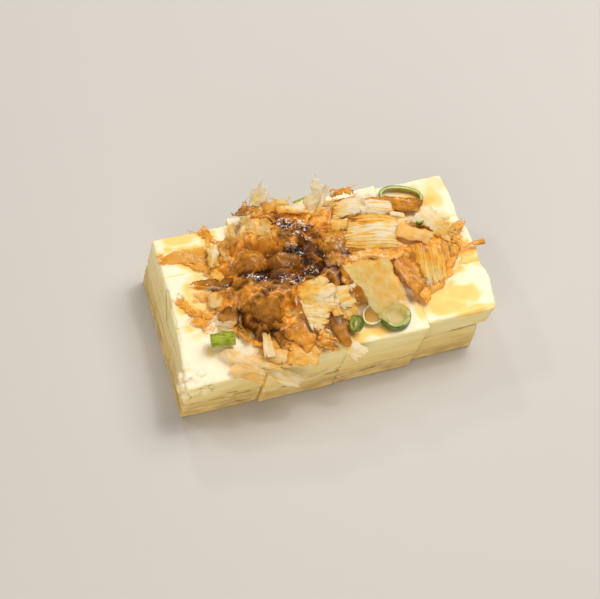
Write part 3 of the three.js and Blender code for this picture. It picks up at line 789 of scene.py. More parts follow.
def torn_outline(size, slant, tips, rounding, tear, belly, seed):
    """The outline of a flake laid flat, in mm about its middle, against the clock from its
    start. size is its length, and its width at the start and at the end."""
    draw = random.Random(seed)
    length, start, end = size

    def half(f):
        """Half the flake's width, at a share f of its length."""
        return (start * (1 - f) + end * f) / 2 + belly * 4 * f * (1 - f)

    def bite(at, edge):
        """How deep the edge is torn in, a distance at along it."""
        rough = noise.noise((at / 2.6, edge, 1.7 * seed)) + 0.6 * noise.noise((at / 0.9, edge, seed))
        bay = min(1.4, 0.15 * start) * max(0, 0.3 + 1.6 * noise.noise((at / 5.5, edge + 3, 2.3 * seed)))
        return tear * max(0, 0.45 + 0.8 * rough + 0.3 * draw.random()) + bay

    def side(sign):
        """One long edge, from start to end."""
        run = []
        count = max(4, int(length / FLAKE_STEP))
        for i in range(count + 1):
            f = i / count
            if f * length < rounding[0] or (1 - f) * length < rounding[1]:
                continue
            nick = draw.uniform(0.6, 2.2) * tear if draw.random() < 0.06 else 0
            lean = (slant[0] * (1 - f) + slant[1] * f) * sign / 2
            deep = min(bite(f * length, 9.0 * sign) + nick, 1.5 * half(f))
            run.append((length * (f - 0.5) + lean, sign * (half(f) - deep)))
        return run

    def torn_end(at_end):
        """The edge across the start (0) or the end (1), torn into fingers with slits."""
        count, width = tips[at_end], half(at_end) * 2
        deep = tear * (1.1 + 0.09 * length)
        fingers = [
            ((i + draw.uniform(0.25, 0.75)) / count, draw.uniform(0.7, 1.3) / (2 * count),
             draw.uniform(0.5, 1), draw.uniform(0.8, 1.5))
            for i in range(count)
        ]
        steps = max(4, int(width / FLAKE_STEP))
        slits = {draw.randrange(1, steps): tear * draw.uniform(1, 4) for _ in range(int(width / 3.5))}
        run = []
        for i in range(1, steps):
            f = i / steps
            reach = [high * max(0, 1 - abs(f - at) / wide) ** sharp for at, wide, high, sharp in fingers]
            inward = deep * (1 - max(reach)) if count else 0
            inward += 0.7 * bite(f * width, 5.0 + 20 * at_end) + slits.get(i, 0)
            inward += rounding[at_end] * abs(2 * f - 1) ** 2.5
            inward = min(inward, 0.42 * length)
            run.append(((2 * at_end - 1) * (length / 2 - inward), (2 * f - 1) * width / 2))
        lean = slant[at_end]
        return [(x + lean * y / max(width, 0.1), y) for x, y in run]

    return side(-1) + torn_end(1) + side(1)[::-1] + torn_end(0)[::-1]


def flake(
    seed, size, slant=(0, 0), tips=(0, 0), rounding=(0, 0), tear=0.6, belly=0.0, curl=20, cup=0.1,
    crumple=0.5, ribs=0.0, fine=0.5, crossways=False,
):
    """A flake about its own middle, length along x. slant skews its ends, tips are the fingers
    that they are torn into, and rounding takes off their corners. tear is how ragged it is, belly
    how much wider in the middle, curl how far it bends along itself in degrees, and cup across.
    crumple and ribs raise its surface, fine is the size of its faces, and crossways turns its
    fibres. Gives its points in mm, its triangles, each point's flat place, which the fibres
    follow, and how far along and across it is, how near the torn edge, how ribbed and how raised."""
    outline = torn_outline(size, slant, tips, rounding, tear, belly, seed)
    draw = random.Random(seed + 500)
    length, width = size[0], max(size[1], size[2]) + 2 * belly
    inner = []
    for i in range(int(length * 1.3 / fine)):
        for j in range(int(width * 1.1 / fine) + 1):
            inner.append((
                -0.65 * length + (i + draw.uniform(0.2, 0.8)) * fine,
                -0.55 * width + (j + draw.uniform(0.2, 0.8)) * fine,
            ))
    spots = [Vector(p) for p in outline + inner]
    flat, _, faces, _, _, _ = delaunay_2d_cdt(spots, [], [list(range(len(outline)))], 1, 1e-4)
    used, faces = np.unique(faces, return_inverse=True)
    faces = faces.reshape(-1, 3)
    flat = np.array([(flat[i].x, flat[i].y, 0) for i in used])
    s, t = flat[:, 0], flat[:, 1]
    f, v = s / length + 0.5, t / (width / 2)
    own = (flat[:, [1, 0, 2]] if crossways else flat) + (0, 0, 31.7 * seed)
    bent = own + 0.9 * np.stack([lumps(own, 3, 26), lumps(own, 3, 27), 0 * s], 1)
    creases = lumps(own, (7, 4, 9), 20) + 0.5 * (1 - 2.4 * np.abs(lumps(bent, (4.5, 2.4, 9), 21)))
    creases += 0.3 * (1 - 2.4 * np.abs(lumps(bent, (2.1, 1.2, 9), 22)))
    rib = np.sin(2 * math.pi * (own[:, 1] / 1.7 + 1.2 * lumps(own, (18, 5, 9), 23)))
    rib = rib * (0.65 + 0.6 * lumps(own, (6, 2.5, 9), 28))
    folds = crumple * creases
    rise = folds + ribs * rib - cup * width * v**2
    bend = math.radians(curl)
    angle = bend * (f - 0.5)
    radius = length / bend
    x = (radius + rise) * np.sin(angle) + 0.3 * crumple * lumps(own, 4, 24)
    y = t + 0.3 * crumple * lumps(own, 4, 25)
    z = (radius + rise) * np.cos(angle) - radius
    edge = np.array(outline)
    off = np.sqrt(((flat[:, None, :2] - edge[None]) ** 2).sum(2).min(1))
    marks = {
        "along": np.clip(f, 0, 1),
        "rim": np.exp(-off / 0.5),
        "across": np.clip(v, -1, 1),
        "ribbed": np.full(len(s), min(1, ribs / 0.05)),
        "folds": folds + ribs * rib,
    }
    return np.stack([x, y, z], 1), faces, own, marks


def thicken(points, faces, thickness):
    """A closed thin solid round a sheet of triangles."""
    a, b, c = (points[faces[:, i]] for i in range(3))
    flat = np.cross(b - a, c - a)
    normals = np.zeros_like(points)
    for i in range(3):
        np.add.at(normals, faces[:, i], flat)
    normals /= np.linalg.norm(normals, axis=1)[:, None] + 1e-9
    return closed(points + normals * thickness / 2, points - normals * thickness / 2, faces)


def front_edge(points):
    """How far forward the tofu's top reaches in line with each point."""
    front = np.full(len(points), 99.0)
    left = -99.0
    for edge, right in FRONT_OF_COLUMN:
        front[(points[:, 0] > left) & (points[:, 0] <= right)] = edge
        left = right
    return front


def keep_off(points, gap):
    """Lifts what would sink into the heap or the tofu, and pushes it out at the front edge, by
    up to 4 mm."""
    points = points.copy()
    y, z = points[:, 1], points[:, 2]
    front = front_edge(points)
    over_top = y > front + 0.2
    low = heap_top(points) + gap
    lift = np.where(over_top, np.maximum(0, low - z), 0)
    push = np.where(z < TOP, np.maximum(0, y - (front - gap)), 0)
    sideways = over_top & (z < TOP) & (push < lift) & (push < 4)
    points[:, 2] += np.where(sideways, 0, lift * 0.97)
    points[:, 1] -= np.where(sideways | ~over_top, np.minimum(push, 4), 0)
    return points


def laid(points, raised, at, lay, gap, drape):
    """A flake's points, turned, tipped up and rolled by the angles of lay, with its middle at x, y
    and that lift above the tofu's top, resting on what is under it. drape is how far it clings
    to that, as high as its folds are raised."""
    turn, pitch, roll = (math.radians(angle) for angle in lay)
    turned = Euler((roll, -pitch, turn), "XYZ").to_matrix()
    points = points @ np.array(turned).T + (at[0], at[1], TOP + at[2])
    clinging = heap_top(points) + gap + 0.5 * np.maximum(raised, -0.2)
    over_top = smooth(-0.6, 0.6, points[:, 1] - front_edge(points))
    points[:, 2] += drape * over_top * (clinging - points[:, 2])
    return keep_off(points, gap)


def placed_flake(
    seed, at, lay, soak, gap=0.3, drape=0.0, across=(0, 0, 0), wick=0.8, film=0.97, painted_glints=0, **shape
):
    """A flake in its place, as points and faces, and what each point carries. soak is how soaked
    it is at its start and at its end, across what each side and the middle have more, and wick
    how far sauce has risen into it from what it lies on."""
    points, faces, own, marks = flake(seed, **shape)
    points = laid(points, marks["folds"], at, lay, gap, drape)
    soak = soak[0] + (soak[1] - soak[0]) * marks["along"] + 0.12 * lumps(points, 3, seed)
    soak = soak + np.interp(marks["across"], (-1, 0, 1), across)
    clear = np.maximum(0, points[:, 2] - heap_top(points) - 0.5)
    soak = np.maximum(soak, wick * (under(soaked, points) - 0.09 * clear))
    # Sauce gathers darker at the torn edge; the raised folds are painted paler and the hollows darker, as
    # painted highlight and shade.
    soak = soak + 0.25 * marks["rim"] * np.maximum(0, soak) - 0.1 * marks["folds"]
    film = np.interp(marks["along"], (0, 1), np.broadcast_to(film, 2))
    carried = {
        "soak": soak,
        "grain": own,
        "film": film - 0.35 * marks["rim"] * (0.5 + lumps(points, 1.5, 60)),
        # How thickly highlights are painted on it: its own share, or the heap's where it lies close on it.
        "glitter": np.maximum(painted_glints, under(glitter, points) * smooth(4, 1, clear)),
        "ribbed": marks["ribbed"],
    }
    points, faces = thicken(points, faces, FLAKE_THICKNESS)
    return points, faces, {key: np.concatenate((each, each)) for key, each in carried.items()}


def flakes(name, finish, rows):
    """One piece of all the flakes in rows, which say what placed_flake is given."""
    made = [placed_flake(**{"seed": i + len(name) * 7, **row}) for i, row in enumerate(rows)]
    points, faces = together([solid[:2] for solid in made])
    carried = {key: np.concatenate([solid[2][key] for solid in made]) for key in made[0][2]}
    piece(name, points, faces, finish, "shavings", ["bonito_shavings"], **carried)


dry_fish = fish_finish("dry_bonito", 0.55, 0.45)

# Pale flakes that stand up at the back, in the air.
flakes("standing_flakes", dry_fish, [
    dict(at=(-12.3, 35.3, 12), lay=(12, 47, 38), size=(14, 7, 8), slant=(3, 3), tips=(1, 3), tear=0.9,
         curl=-35, crumple=0.6, soak=(0.22, -0.08), wick=0.5, film=1.3),
    dict(at=(-15.6, 35.5, 13.5), lay=(60, 55, 0), size=(11, 0.7, 0.4), tear=0.1, curl=70, crumple=0.2,
         soak=(0.1, 0.1)),
    dict(at=(10.2, 29.1, 12.25), lay=(30, 46, 24), size=(17, 8, 11), slant=(2, 3), tips=(0, 2), tear=0.8,
         curl=-22, crumple=0.8, soak=(0.18, -0.08), wick=0.5, film=1.3),
    dict(at=(12.4, 26.5, 13.5), lay=(52, 38, 10), size=(14, 2.4, 3.2), tear=0.3, curl=-15, crumple=0.3,
         soak=(0.0, -0.1)),
    dict(at=(-20, 27, 5.8), lay=(-104, -49, 20), size=(11, 9, 3), slant=(-3, 0), tips=(2, 0), tear=0.5,
         curl=25, soak=(0.1, 0.25)),
    dict(at=(-25.7, 26.2, 3), lay=(-91, -15, 43), size=(10, 4.5, 4), soak=(0.1, 0.3)),
    dict(at=(-1, 27.4, 11), lay=(-7, 7, 22), size=(14, 4, 6.5), tips=(2, 1), curl=25, crumple=0.7,
         soak=(0.15, 0.05)),
    dict(at=(-8.6, 31.6, 9.6), lay=(6, 0, 32), size=(8, 8, 5), curl=60, crumple=0.9, soak=(0.46, 0.34)),
    dict(at=(-16.6, 31.4, 8.6), lay=(-16, -4, 34), size=(13, 5, 8), slant=(3, 1), tips=(2, 1), curl=45,
         crumple=0.9, soak=(0.66, 0.46), wick=0.3, painted_glints=0.5),
    dict(at=(-18.7, 33, 10), lay=(70, 40, 20), size=(6, 3.5, 2.5), curl=90, crumple=0.6, soak=(0.6, 0.5),
         painted_glints=0.6),
    dict(at=(-3.2, 32, 9.2), lay=(-4, 0, 30), size=(9, 7, 6), tips=(1, 1), curl=40, crumple=0.9,
         soak=(0.4, 0.26)),
])

# Pale, ribbed flakes on the right of the heap.
flakes("ribbed_flakes", dry_fish, [
    dict(at=(22.6, 21.6, 11.6), lay=(-8, -2, 8), size=(17, 10, 9), tips=(1, 2), tear=0.5, curl=35,
         ribs=0.06, soak=(0.14, -0.02)),
    dict(at=(34, 19.6, 10.1), lay=(-12, -5, 12), size=(13, 9.5, 7), slant=(-1, 0), tear=0.4, curl=25,
         ribs=0.07, soak=(-0.04, 0.0), wick=0.3),
    dict(at=(27.8, 24.5, 11.2), lay=(-90, -4, 0), size=(9, 4, 4.4), rounding=(2, 0), tear=0.15, curl=80,
         crumple=0.3, soak=(-0.1, 0.0), film=0.7),
    dict(at=(19.4, 14.6, 10.6), lay=(-8, -2, 10), size=(17, 7, 7), tips=(2, 1), tear=0.7, curl=25,
         crumple=0.7, soak=(0.32, 0.12), wick=0.2),
    dict(at=(41.4, 14.8, 8.7), lay=(-19, -5, 12), size=(7, 3.2, 3), tear=0.2, soak=(0.05, 0.05)),
    dict(at=(27.6, 7.8, 11.6), lay=(-11, -3, 10), size=(26, 18.5, 16.5), slant=(4, 3), tips=(2, 2),
         curl=55, cup=0.06, ribs=0.06, soak=(0.2, -0.04), across=(0.36, -0.12, 0.4), wick=0.3),
    dict(at=(55.2, 10.5, 6.4), lay=(-51, -15, 5), size=(15, 12, 8), slant=(1.7, -3.3), tips=(1, 2),
         tear=0.35, curl=35, crumple=0.4, soak=(0.06, 0.2), wick=0.2),
    dict(at=(48.8, -9.8, 6.4), lay=(-99, -15, -4), size=(21.5, 20.5, 11), slant=(0, -2), tips=(2, 8),
         tear=0.8, curl=28, crumple=0.4, ribs=0.03, soak=(0.42, 0.1), across=(0.1, -0.04, 0.1), wick=0.2),
])

# Wet amber strips and flakes behind, between and in front of them, and a golden pair that lies
# apart at the front left.
flakes("amber_flakes", wet_fish, [
    dict(at=(43.4, 23.4, 4.8), lay=(-18, -6, 30), size=(26, 2, 6), tips=(1, 3), tear=0.5, belly=1.2,
         curl=12, cup=0.02, soak=(0.46, 0.56)),
    dict(at=(27, -1.8, 9.4), lay=(-9, -4, 12), size=(25, 7, 6), slant=(2, 2), tips=(2, 1), tear=0.5,
         curl=30, crumple=0.7, soak=(0.4, 0.34), painted_glints=0.6),
    dict(at=(45.4, 5.2, 7.5), lay=(-22, -12, 8), size=(17, 8, 7.5), slant=(0, 4), tear=0.3, crumple=0.4,
         soak=(0.22, 0.18), wick=0.2, film=0.7),
    dict(at=(37, -13.4, 7.2), lay=(-71, -18, 8), size=(17, 6.6, 7.6), slant=(0, -2), rounding=(2, 0),
         tear=0.2, curl=8, cup=0.02, crumple=0.2, soak=(0.5, 0.52)),
    dict(at=(41.2, -20.6, 3.6), lay=(-50, -15, 3), size=(8, 4, 7), slant=(1, -2), tips=(0, 1), tear=0.3,
         curl=12, soak=(0.38, 0.4)),
    dict(at=(25.2, -14.6, 7.2), lay=(-75, -16, 2), size=(19, 17, 13), slant=(6, 1), tear=0.4, cup=0.06,
         crumple=0.4, soak=(0.5, 0.36), wick=0.2),
    dict(at=(62.7, 0.6, 3.2), lay=(-9, 5, 16), size=(10, 9, 5), tips=(2, 4), tear=1.4, curl=15,
         soak=(0.3, 0.36)),
    dict(at=(60.2, -4.8, 2.4), lay=(-94, -11, -5), size=(9, 10, 5), tips=(2, 4), tear=1.1, curl=10,
         soak=(0.32, 0.26), film=0.8),
    dict(at=(67, -2.9, 2.6), lay=(15, 6, 15), size=(6, 1.1, 1), tear=0.1, curl=40, soak=(0.4, 0.4)),
    dict(at=(71.6, -2.9, 2.9), lay=(-6, 2, 24), size=(6, 2.2, 3), rounding=(1, 1), tear=0.2, curl=10,
         soak=(0.42, 0.44)),
    dict(at=(22.6, 29.8, 11.6), lay=(-9, 7, 29), size=(12, 4.5, 6), tips=(3, 3), tear=1.3, crumple=1.0,
         soak=(0.42, 0.5)),
    dict(at=(-36.9, -30.8, 1.9), lay=(-38, -6, 28), size=(18, 4.2, 7.4), slant=(3, -1), rounding=(2, 0),
         tear=0.08, curl=32, crumple=0.3, soak=(0.1, 0.14), wick=0, film=0.7),
    dict(at=(-36, -35.8, -0.6), lay=(-30, -9, 42), size=(14, 5.5, 6.5), slant=(3, -2), rounding=(2, 0),
         tear=0.08, curl=30, soak=(0.12, 0.24), wick=0, film=0.75),
])

# A wide wet flake, clear enough to show the ring of spring onion under it.
clear_fish = fish_finish("clear_bonito", 0.3, 0.3, (0.93, 0.97, 0.66))
flakes("clear_flake", clear_fish, [
    dict(at=(24.3, -18.4, 8.5), lay=(-76, -15, 2), size=(30, 19, 15), slant=(6.4, 1), rounding=(0, 6),
         tear=0.25, curl=24, cup=0.05, crumple=0.4, soak=(0.14, 0.03), across=(-0.1, 0.06, 0.04), wick=0,
         film=(0.6, 0.25)),
])

# Crumpled flakes in front, which hang over the edge of the curd.
flakes("crumpled_flakes", dry_fish, [
    dict(at=(-2.2, -12.4, 9.4), lay=(14, 3, 14), size=(18, 12, 10), slant=(4, -2), tips=(2, 1), tear=0.7,
         curl=25, crumple=0.9, soak=(0.34, 0.1), across=(-0.06, 0, 0.16), wick=0.4),
    dict(at=(-3.4, -21.4, 7.4), lay=(-110, -12, -2), size=(18, 20, 4), slant=(-2, 0), tips=(1, 1),
         tear=0.8, curl=25, crumple=0.8, ribs=0.03, crossways=True, soak=(0.1, 0.1), wick=0.3),
    dict(at=(4.4, -20.8, 6.4), lay=(-80, -14, 6), size=(12, 6, 6), tips=(1, 2), tear=0.5, curl=30,
         crumple=0.6, soak=(0.2, 0.28), wick=0.3),
    dict(at=(8.2, -16.6, 8.2), lay=(-82, -8, 10), size=(12, 10, 8), tips=(1, 2), tear=0.4, curl=70,
         crumple=0.6, ribs=0.03, crossways=True, soak=(0.08, 0.14), wick=0.2),
    dict(at=(7.8, -20.6, 6), lay=(-70, -16, 8), size=(14, 10, 9), tips=(1, 2), curl=30, crumple=0.6,
         soak=(0.22, 0.26), wick=0.4, film=0.8),
    dict(at=(13, -13.6, 8.6), lay=(20, 18, 21), size=(5, 3.4, 3), curl=70, soak=(0.12, 0.05)),
    dict(at=(-21.2, -38.9, -5.4), lay=(-24, -30, 47), size=(18.5, 3.4, 5), slant=(2, 0), tips=(1, 5),
         belly=1.6, curl=30, cup=0.03, crumple=0.4, ribs=0.03, soak=(0.1, 0.02), wick=0, film=1.1),
    dict(at=(4, -34.4, 1.8), lay=(-42, -16, 24), size=(21, 5, 8), slant=(0, 3), tips=(1, 3), curl=40,
         crumple=0.7, soak=(0.14, 0.04), wick=0.3, film=1.1),
    dict(at=(-25.7, -28, 3.4), lay=(-95, -10, 2), size=(11.5, 4, 5.5), tips=(1, 2), tear=0.4, curl=10,
         cup=0.0, crumple=0.6, soak=(0.26, 0.0), wick=0, film=0.9),
    dict(at=(-27.4, -33.4, 0.7), lay=(-16, 0, 6), size=(13, 6, 8), tips=(2, 2), tear=0.8, curl=10,
         drape=0.9, soak=(0.16, 0.24), wick=0, film=0.8),
    dict(at=(-19.4, -26.6, 3.4), lay=(-70, -12, 12), size=(9, 7, 7), tips=(1, 2), tear=0.7, curl=12,
         crumple=0.7, drape=0.5, soak=(0.8, 0.56), film=0.8),
])

# Wet flakes at the front edge, then those that cling to the rounded lumps of the soaked middle.
flakes("front_wet_flakes", wet_fish, [
    dict(at=(-22.4, -28.8, 1.2), lay=(-30, -4, 8), size=(16, 11, 11), tips=(3, 3), tear=1.0, curl=15,
         crumple=0.6, drape=0.95, soak=(0.34, 0.4), film=0.9, painted_glints=0.3),
    dict(at=(3.4, -30, 4.8), lay=(-80, -18, 8), size=(14, 8.5, 5), slant=(2, 1), rounding=(0, 2),
         tear=0.15, curl=30, crumple=0.25, soak=(0.78, 0.5), wick=0, film=0.85),
    dict(at=(-3.2, -31.4, 3.6), lay=(-30, -8, 20), size=(12, 9, 8), tips=(2, 2), tear=0.8, curl=35,
         crumple=1.1, soak=(0.58, 0.42), painted_glints=0.55),
    dict(at=(-12.6, -35.2, 2.4), lay=(-16, -6, 16), size=(15, 10.5, 11), slant=(1, 4), tips=(1, 2),
         tear=0.5, curl=22, crumple=0.7, soak=(0.36, 0.22), film=0.85, painted_glints=0.6),
    dict(at=(-23, -33, 1.8), lay=(-30, -3, 20), size=(14, 8, 8), slant=(1, 1), tips=(2, 1), tear=0.8,
         curl=22, crumple=0.6, soak=(0.24, 0.18), film=0.75, painted_glints=0.4),
    dict(at=(-12.4, -29, 5.2), lay=(-66, -14, 16), size=(13, 12, 6), slant=(3, -1), tear=0.3, crumple=0.6,
         crossways=True, soak=(0.54, 0.4), film=0.8, painted_glints=0.55),
    dict(at=(-22.5, -15.4, 8.6), lay=(-91, -21, 7), size=(17, 16, 12), slant=(2, 4), tips=(2, 2),
         tear=0.8, curl=110, crumple=0.3, drape=0.9, soak=(0.56, 0.68), film=0.6),
    dict(at=(-22.3, 7.2, 10.8), lay=(-97, -24, 18), size=(15, 12, 12), slant=(2, 2), tips=(2, 1),
         tear=0.7, curl=100, crumple=0.3, drape=0.92, soak=(0.38, 0.64), film=0.6),
    dict(at=(-10.9, 3, 12), lay=(-98, -31, 6), size=(14, 15, 14), tips=(2, 2), tear=0.7, curl=90,
         crumple=0.3, drape=0.92, soak=(0.6, 0.74), film=0.6),
    dict(at=(-12.7, 14.1, 13), lay=(-90, 3, 9), size=(10, 12, 11), tips=(2, 2), tear=0.8, curl=50,
         crumple=0.3, drape=0.9, soak=(0.3, 0.4), film=0.6),
    dict(at=(11.3, 8.1, 12.7), lay=(-98, -5, 0), size=(14, 12, 10), tips=(2, 2), tear=0.9, curl=40,
         crumple=0.4, drape=0.85, soak=(0.46, 0.56), film=0.8),
    dict(at=(9.2, -0.8, 11.2), lay=(-103, -14, 0), size=(10, 10, 10), tips=(2, 2), tear=0.9, curl=40,
         crumple=0.4, drape=0.85, soak=(0.4, 0.58), film=0.8),
])

# Soaked, ragged flakes that lie flat on the curd at the left.
flakes("soaked_flakes", wet_fish, [
    dict(at=(-46.9, 22, 0.9), lay=(-9, 2, 4), size=(23, 6, 10), tips=(3, 3), tear=0.9, curl=8,
         crumple=0.35, drape=1, soak=(0.36, 0.3), film=0.8),
    dict(at=(-41.9, 17, 1.8), lay=(-48, 4, 12), size=(15, 8, 8), tips=(3, 2), tear=1.0, curl=15,
         drape=0.9, soak=(0.3, 0.36), film=0.8),
    dict(at=(-35.9, 30.4, 1.1), lay=(-57, 1, 12), size=(12, 8, 3), slant=(4, 1), tips=(3, 2), tear=1.2,
         curl=10, crumple=0.4, drape=1, soak=(0.36, 0.42), film=0.85),
    dict(at=(-36, 25.5, 1.0), lay=(-95, 3, 5), size=(9, 2.6, 3), tear=0.3, curl=5, crumple=0.2, drape=1,
         soak=(0.3, 0.25)),
    dict(at=(-36.2, 17.4, 3.4), lay=(-99, 0, 14), size=(13, 6.5, 6), tips=(1, 1), tear=0.5, curl=30,
         crumple=0.7, soak=(0.14, 0.2), wick=0.2),
    dict(at=(-39.4, 5.2, 3.6), lay=(-20, 8, 27), size=(18, 2, 5), slant=(3, 0), tips=(1, 1), tear=0.4,
         curl=15, crumple=0.4, soak=(0.5, 0.8)),
    dict(at=(-37.5, 7, 4.6), lay=(-68, 0, 24), size=(7, 6, 6), rounding=(1, 1), tear=0.3, curl=60,
         crumple=0.4, soak=(0.26, 0.36)),
    dict(at=(-41.6, 0.6, 0.8), lay=(-12, 2, 4), size=(15, 5, 7), tips=(2, 1), tear=0.9, curl=8, cup=0.02,
         crumple=0.3, drape=0.9, soak=(0.28, 0.36), wick=0.3, film=0.75),
    dict(at=(-51.9, -1.6, 0.7), lay=(-66, 1, 3), size=(15, 5, 5), tips=(3, 3), tear=1.3, curl=5,
         crumple=0.3, drape=1, soak=(0.32, 0.34), film=0.85),
    dict(at=(-47.4, -10.4, 0.8), lay=(-60, 0, 3), size=(11, 8, 6), tips=(3, 4), tear=1.4, curl=5,
         crumple=0.35, drape=1, soak=(0.32, 0.36), film=0.85),
    dict(at=(-46, -6, 1.5), lay=(-28, 3, 5), size=(13, 5.5, 6), tips=(3, 3), tear=1.2, curl=10,
         crumple=0.4, drape=0.9, soak=(0.3, 0.38), film=0.85),
    dict(at=(-40, -2.5, 3.2), lay=(-101, -12, 15), size=(9, 9, 9), tips=(1, 2), soak=(0.12, 0.2),
         film=0.8),
    dict(at=(-36.9, -10.8, 2.9), lay=(-90, -18, 10), size=(10, 11, 9), tips=(1, 2), curl=25, crumple=0.3,
         drape=0.9, soak=(0.56, 0.72)),
    dict(at=(-38.6, -14.2, 1), lay=(-14, 3, 14), size=(10, 6, 7), tips=(2, 2), rounding=(0, 1), tear=0.8,
         cup=0.02, crumple=0.9, drape=0.6, soak=(0.08, 0.24), wick=0.2, film=0.6),
    dict(at=(-33.6, -20, 1.4), lay=(-62, -3, 4), size=(11, 5, 3), tips=(1, 2), tear=0.9, curl=12,
         crumple=0.4, drape=0.9, soak=(0.5, 0.4)),
])


def here(values, x, y):
    """The net's value at one place."""
    return under(values, np.array([[x, y, 0.0]]))[0]


MIDDLE_X, MIDDLE_Y = 4, 3  # the middle of the heap

# Torn flakes lie all along the heap's back and right end, where it thins out on the curd.
TORN_COUNT = 32
draw = random.Random(8)
thin = net[(packed > 0.4) & (packed < 6) & ((net[:, 1] > 19) | ((net[:, 0] > 56) & (net[:, 1] > 4)))]
torn = []
for i in range(TORN_COUNT):
    x, y, _ = thin[draw.randrange(len(thin))]
    soak = here(soaked, x, y) + draw.uniform(-0.2, 0.14)
    loose = draw.random() ** 2
    torn.append(dict(
        at=(x, y, here(packed, x, y) + 0.5 + 2 * loose), drape=0.95 - 0.7 * loose,
        lay=(draw.uniform(0, 360), draw.uniform(-15, 15), draw.uniform(-15, 15)),
        size=(draw.uniform(9, 15), draw.uniform(4, 9), draw.uniform(4, 8)),
        tips=(draw.randint(1, 3), draw.randint(1, 3)), tear=draw.uniform(0.6, 1.2),
        curl=draw.uniform(10, 40), crumple=draw.uniform(0.4, 0.9), fine=0.6,
        soak=(soak, soak + draw.uniform(-0.15, 0.15)), wick=0.4, film=0.85, seed=3000 + i,
    ))
flakes("torn_flakes", dry_fish, torn)

# Small torn bits lie between and under the large flakes all over the heap, apart from these
# places, where a large flake lies open: x, y, reach along x and y.
CLEAR_OF_BITS = [
    (48.8, -9.8, 13, 13),
    (28.4, 7.6, 14, 10),
    (24.6, -17.2, 12, 13),
    (55, 10, 9, 10),
    (43, 22, 14, 5),
    (-1, -15, 11, 9),
    (-46, 0, 14, 22),
]
BIT_COUNT = 420
GOLDEN = math.pi * (3 - math.sqrt(5))  # the turn from one bit to the next, which spreads them evenly

draw = random.Random(3)
bits = []
for i in range(BIT_COUNT):
    far = math.sqrt((i + 0.5) / BIT_COUNT) * draw.uniform(0.9, 1.05)
    x = MIDDLE_X + 54 * far * math.cos(i * GOLDEN)
    y = MIDDLE_Y + 30 * far * math.sin(i * GOLDEN)
    height = here(packed, x, y)
    soak = min(here(soaked, x, y) + draw.uniform(-0.2, 0.05), 0.9)
    clear = min(math.hypot((x - a) / wide, (y - b) / deep) for a, b, wide, deep in CLEAR_OF_BITS)
    if height < 0.7 or clear < 1 or draw.random() < 1.5 * soak:
        continue
    loose = draw.random() ** 2 * (1 - soak)
    tipped = 60 * loose
    bits.append(dict(
        at=(x, y, height + 2.2 * loose), gap=0.12, drape=1 - 0.9 * loose,
        lay=(draw.uniform(0, 360), tipped * draw.uniform(-1, 1), tipped * draw.uniform(-1, 1)),
        size=(
            draw.uniform(4, 9) + 5 * soak,
            draw.uniform(1.5, 5.5) + 4 * soak,
            draw.uniform(1, 5) + 3 * soak,
        ),
        tips=(draw.randint(1, 3), draw.randint(1, 3)), tear=draw.uniform(0.5, 1.1),
        curl=draw.uniform(10, 90), crumple=draw.uniform(0.5, 1.0) * (1 - 0.8 * soak), fine=0.7,
        soak=(soak, soak + draw.uniform(-0.12, 0.12)), wick=0.9, film=0.85 - 0.3 * soak, seed=900 + i,
    ))
flakes("dry_bits", dry_fish, [bit for bit in bits if bit["soak"][0] < 0.3])
flakes("soaked_bits", wet_fish, [bit for bit in bits if bit["soak"][0] >= 0.3])

# Thin curled shreds stand out all round the heap.
SHRED_COUNT = 90
shreds = []
for i in range(SHRED_COUNT):
    far, way = math.sqrt(draw.random()), draw.uniform(0, 2 * math.pi)
    x, y = MIDDLE_X + 50 * far * math.cos(way), MIDDLE_Y + 30 * far * math.sin(way)
    soak = here(soaked, x, y)
    if here(packed, x, y) < 0.7 or soak > 0.5:
        continue
    shreds.append(dict(
        at=(x, y, here(heap, x, y) + 1.4),
        lay=(draw.uniform(0, 360), draw.uniform(-25, 35), draw.uniform(-40, 40)),
        size=(draw.uniform(4, 9), draw.uniform(0.3, 0.9), 0.2),
        tear=0.05, curl=draw.uniform(30, 150), fine=0.6,
        soak=(0.8 * soak - 0.1, 0.1), wick=0.5, seed=2000 + i,
    ))
flakes("shreds", dry_fish, shreds)

# ---------------------------------------------------------------- the spring onion
# Hollow green stalks of spring onion, sliced across into rings and short lengths and scattered
# over the top. The skin is dark, the flesh under it pale, and each cut face shows both.

ONION_R = 3.0  # outer radius of a stalk


def onion_finish(name, skin, flesh):
    """Smooth moist stalk with faint lines along it: skin outside, flesh where it is cut."""
    material, shader, place = new_finish(
        name,
        {
            "Subsurface Weight": 0.35,
            "Subsurface Scale": 0.0012,
            "Subsurface Radius": (0.8, 1.0, 0.5),
            "Coat Roughness": 0.08,
            "Coat Weight": 0.5,
        },
    )
    grain = place.given("grain", 1)
    lines = grain.stretched((0.1, 1.6, 1)).mottle(0.7, 3.0, 0.6)
    patches = place.mottle(2.0, 3.0)
    dark, light = (tuple(c * k for c in skin) for k in (0.55, 1.3))
    green = (lines + 0.5 * (patches - 0.5)).step(0.35, 0.65).between(dark, light)
    inside = (patches + 0.4 * (lines - 0.5)).step(0.3, 0.7).between(flesh, tuple(c * 0.8 for c in flesh))
    feed(
        shader,
        base_color=place.given("skin").between(inside, green),
        roughness=0.3 + 0.25 * (patches - 0.5),
        normal=lines.bumps(0.15, 0.6),
    )
    return material


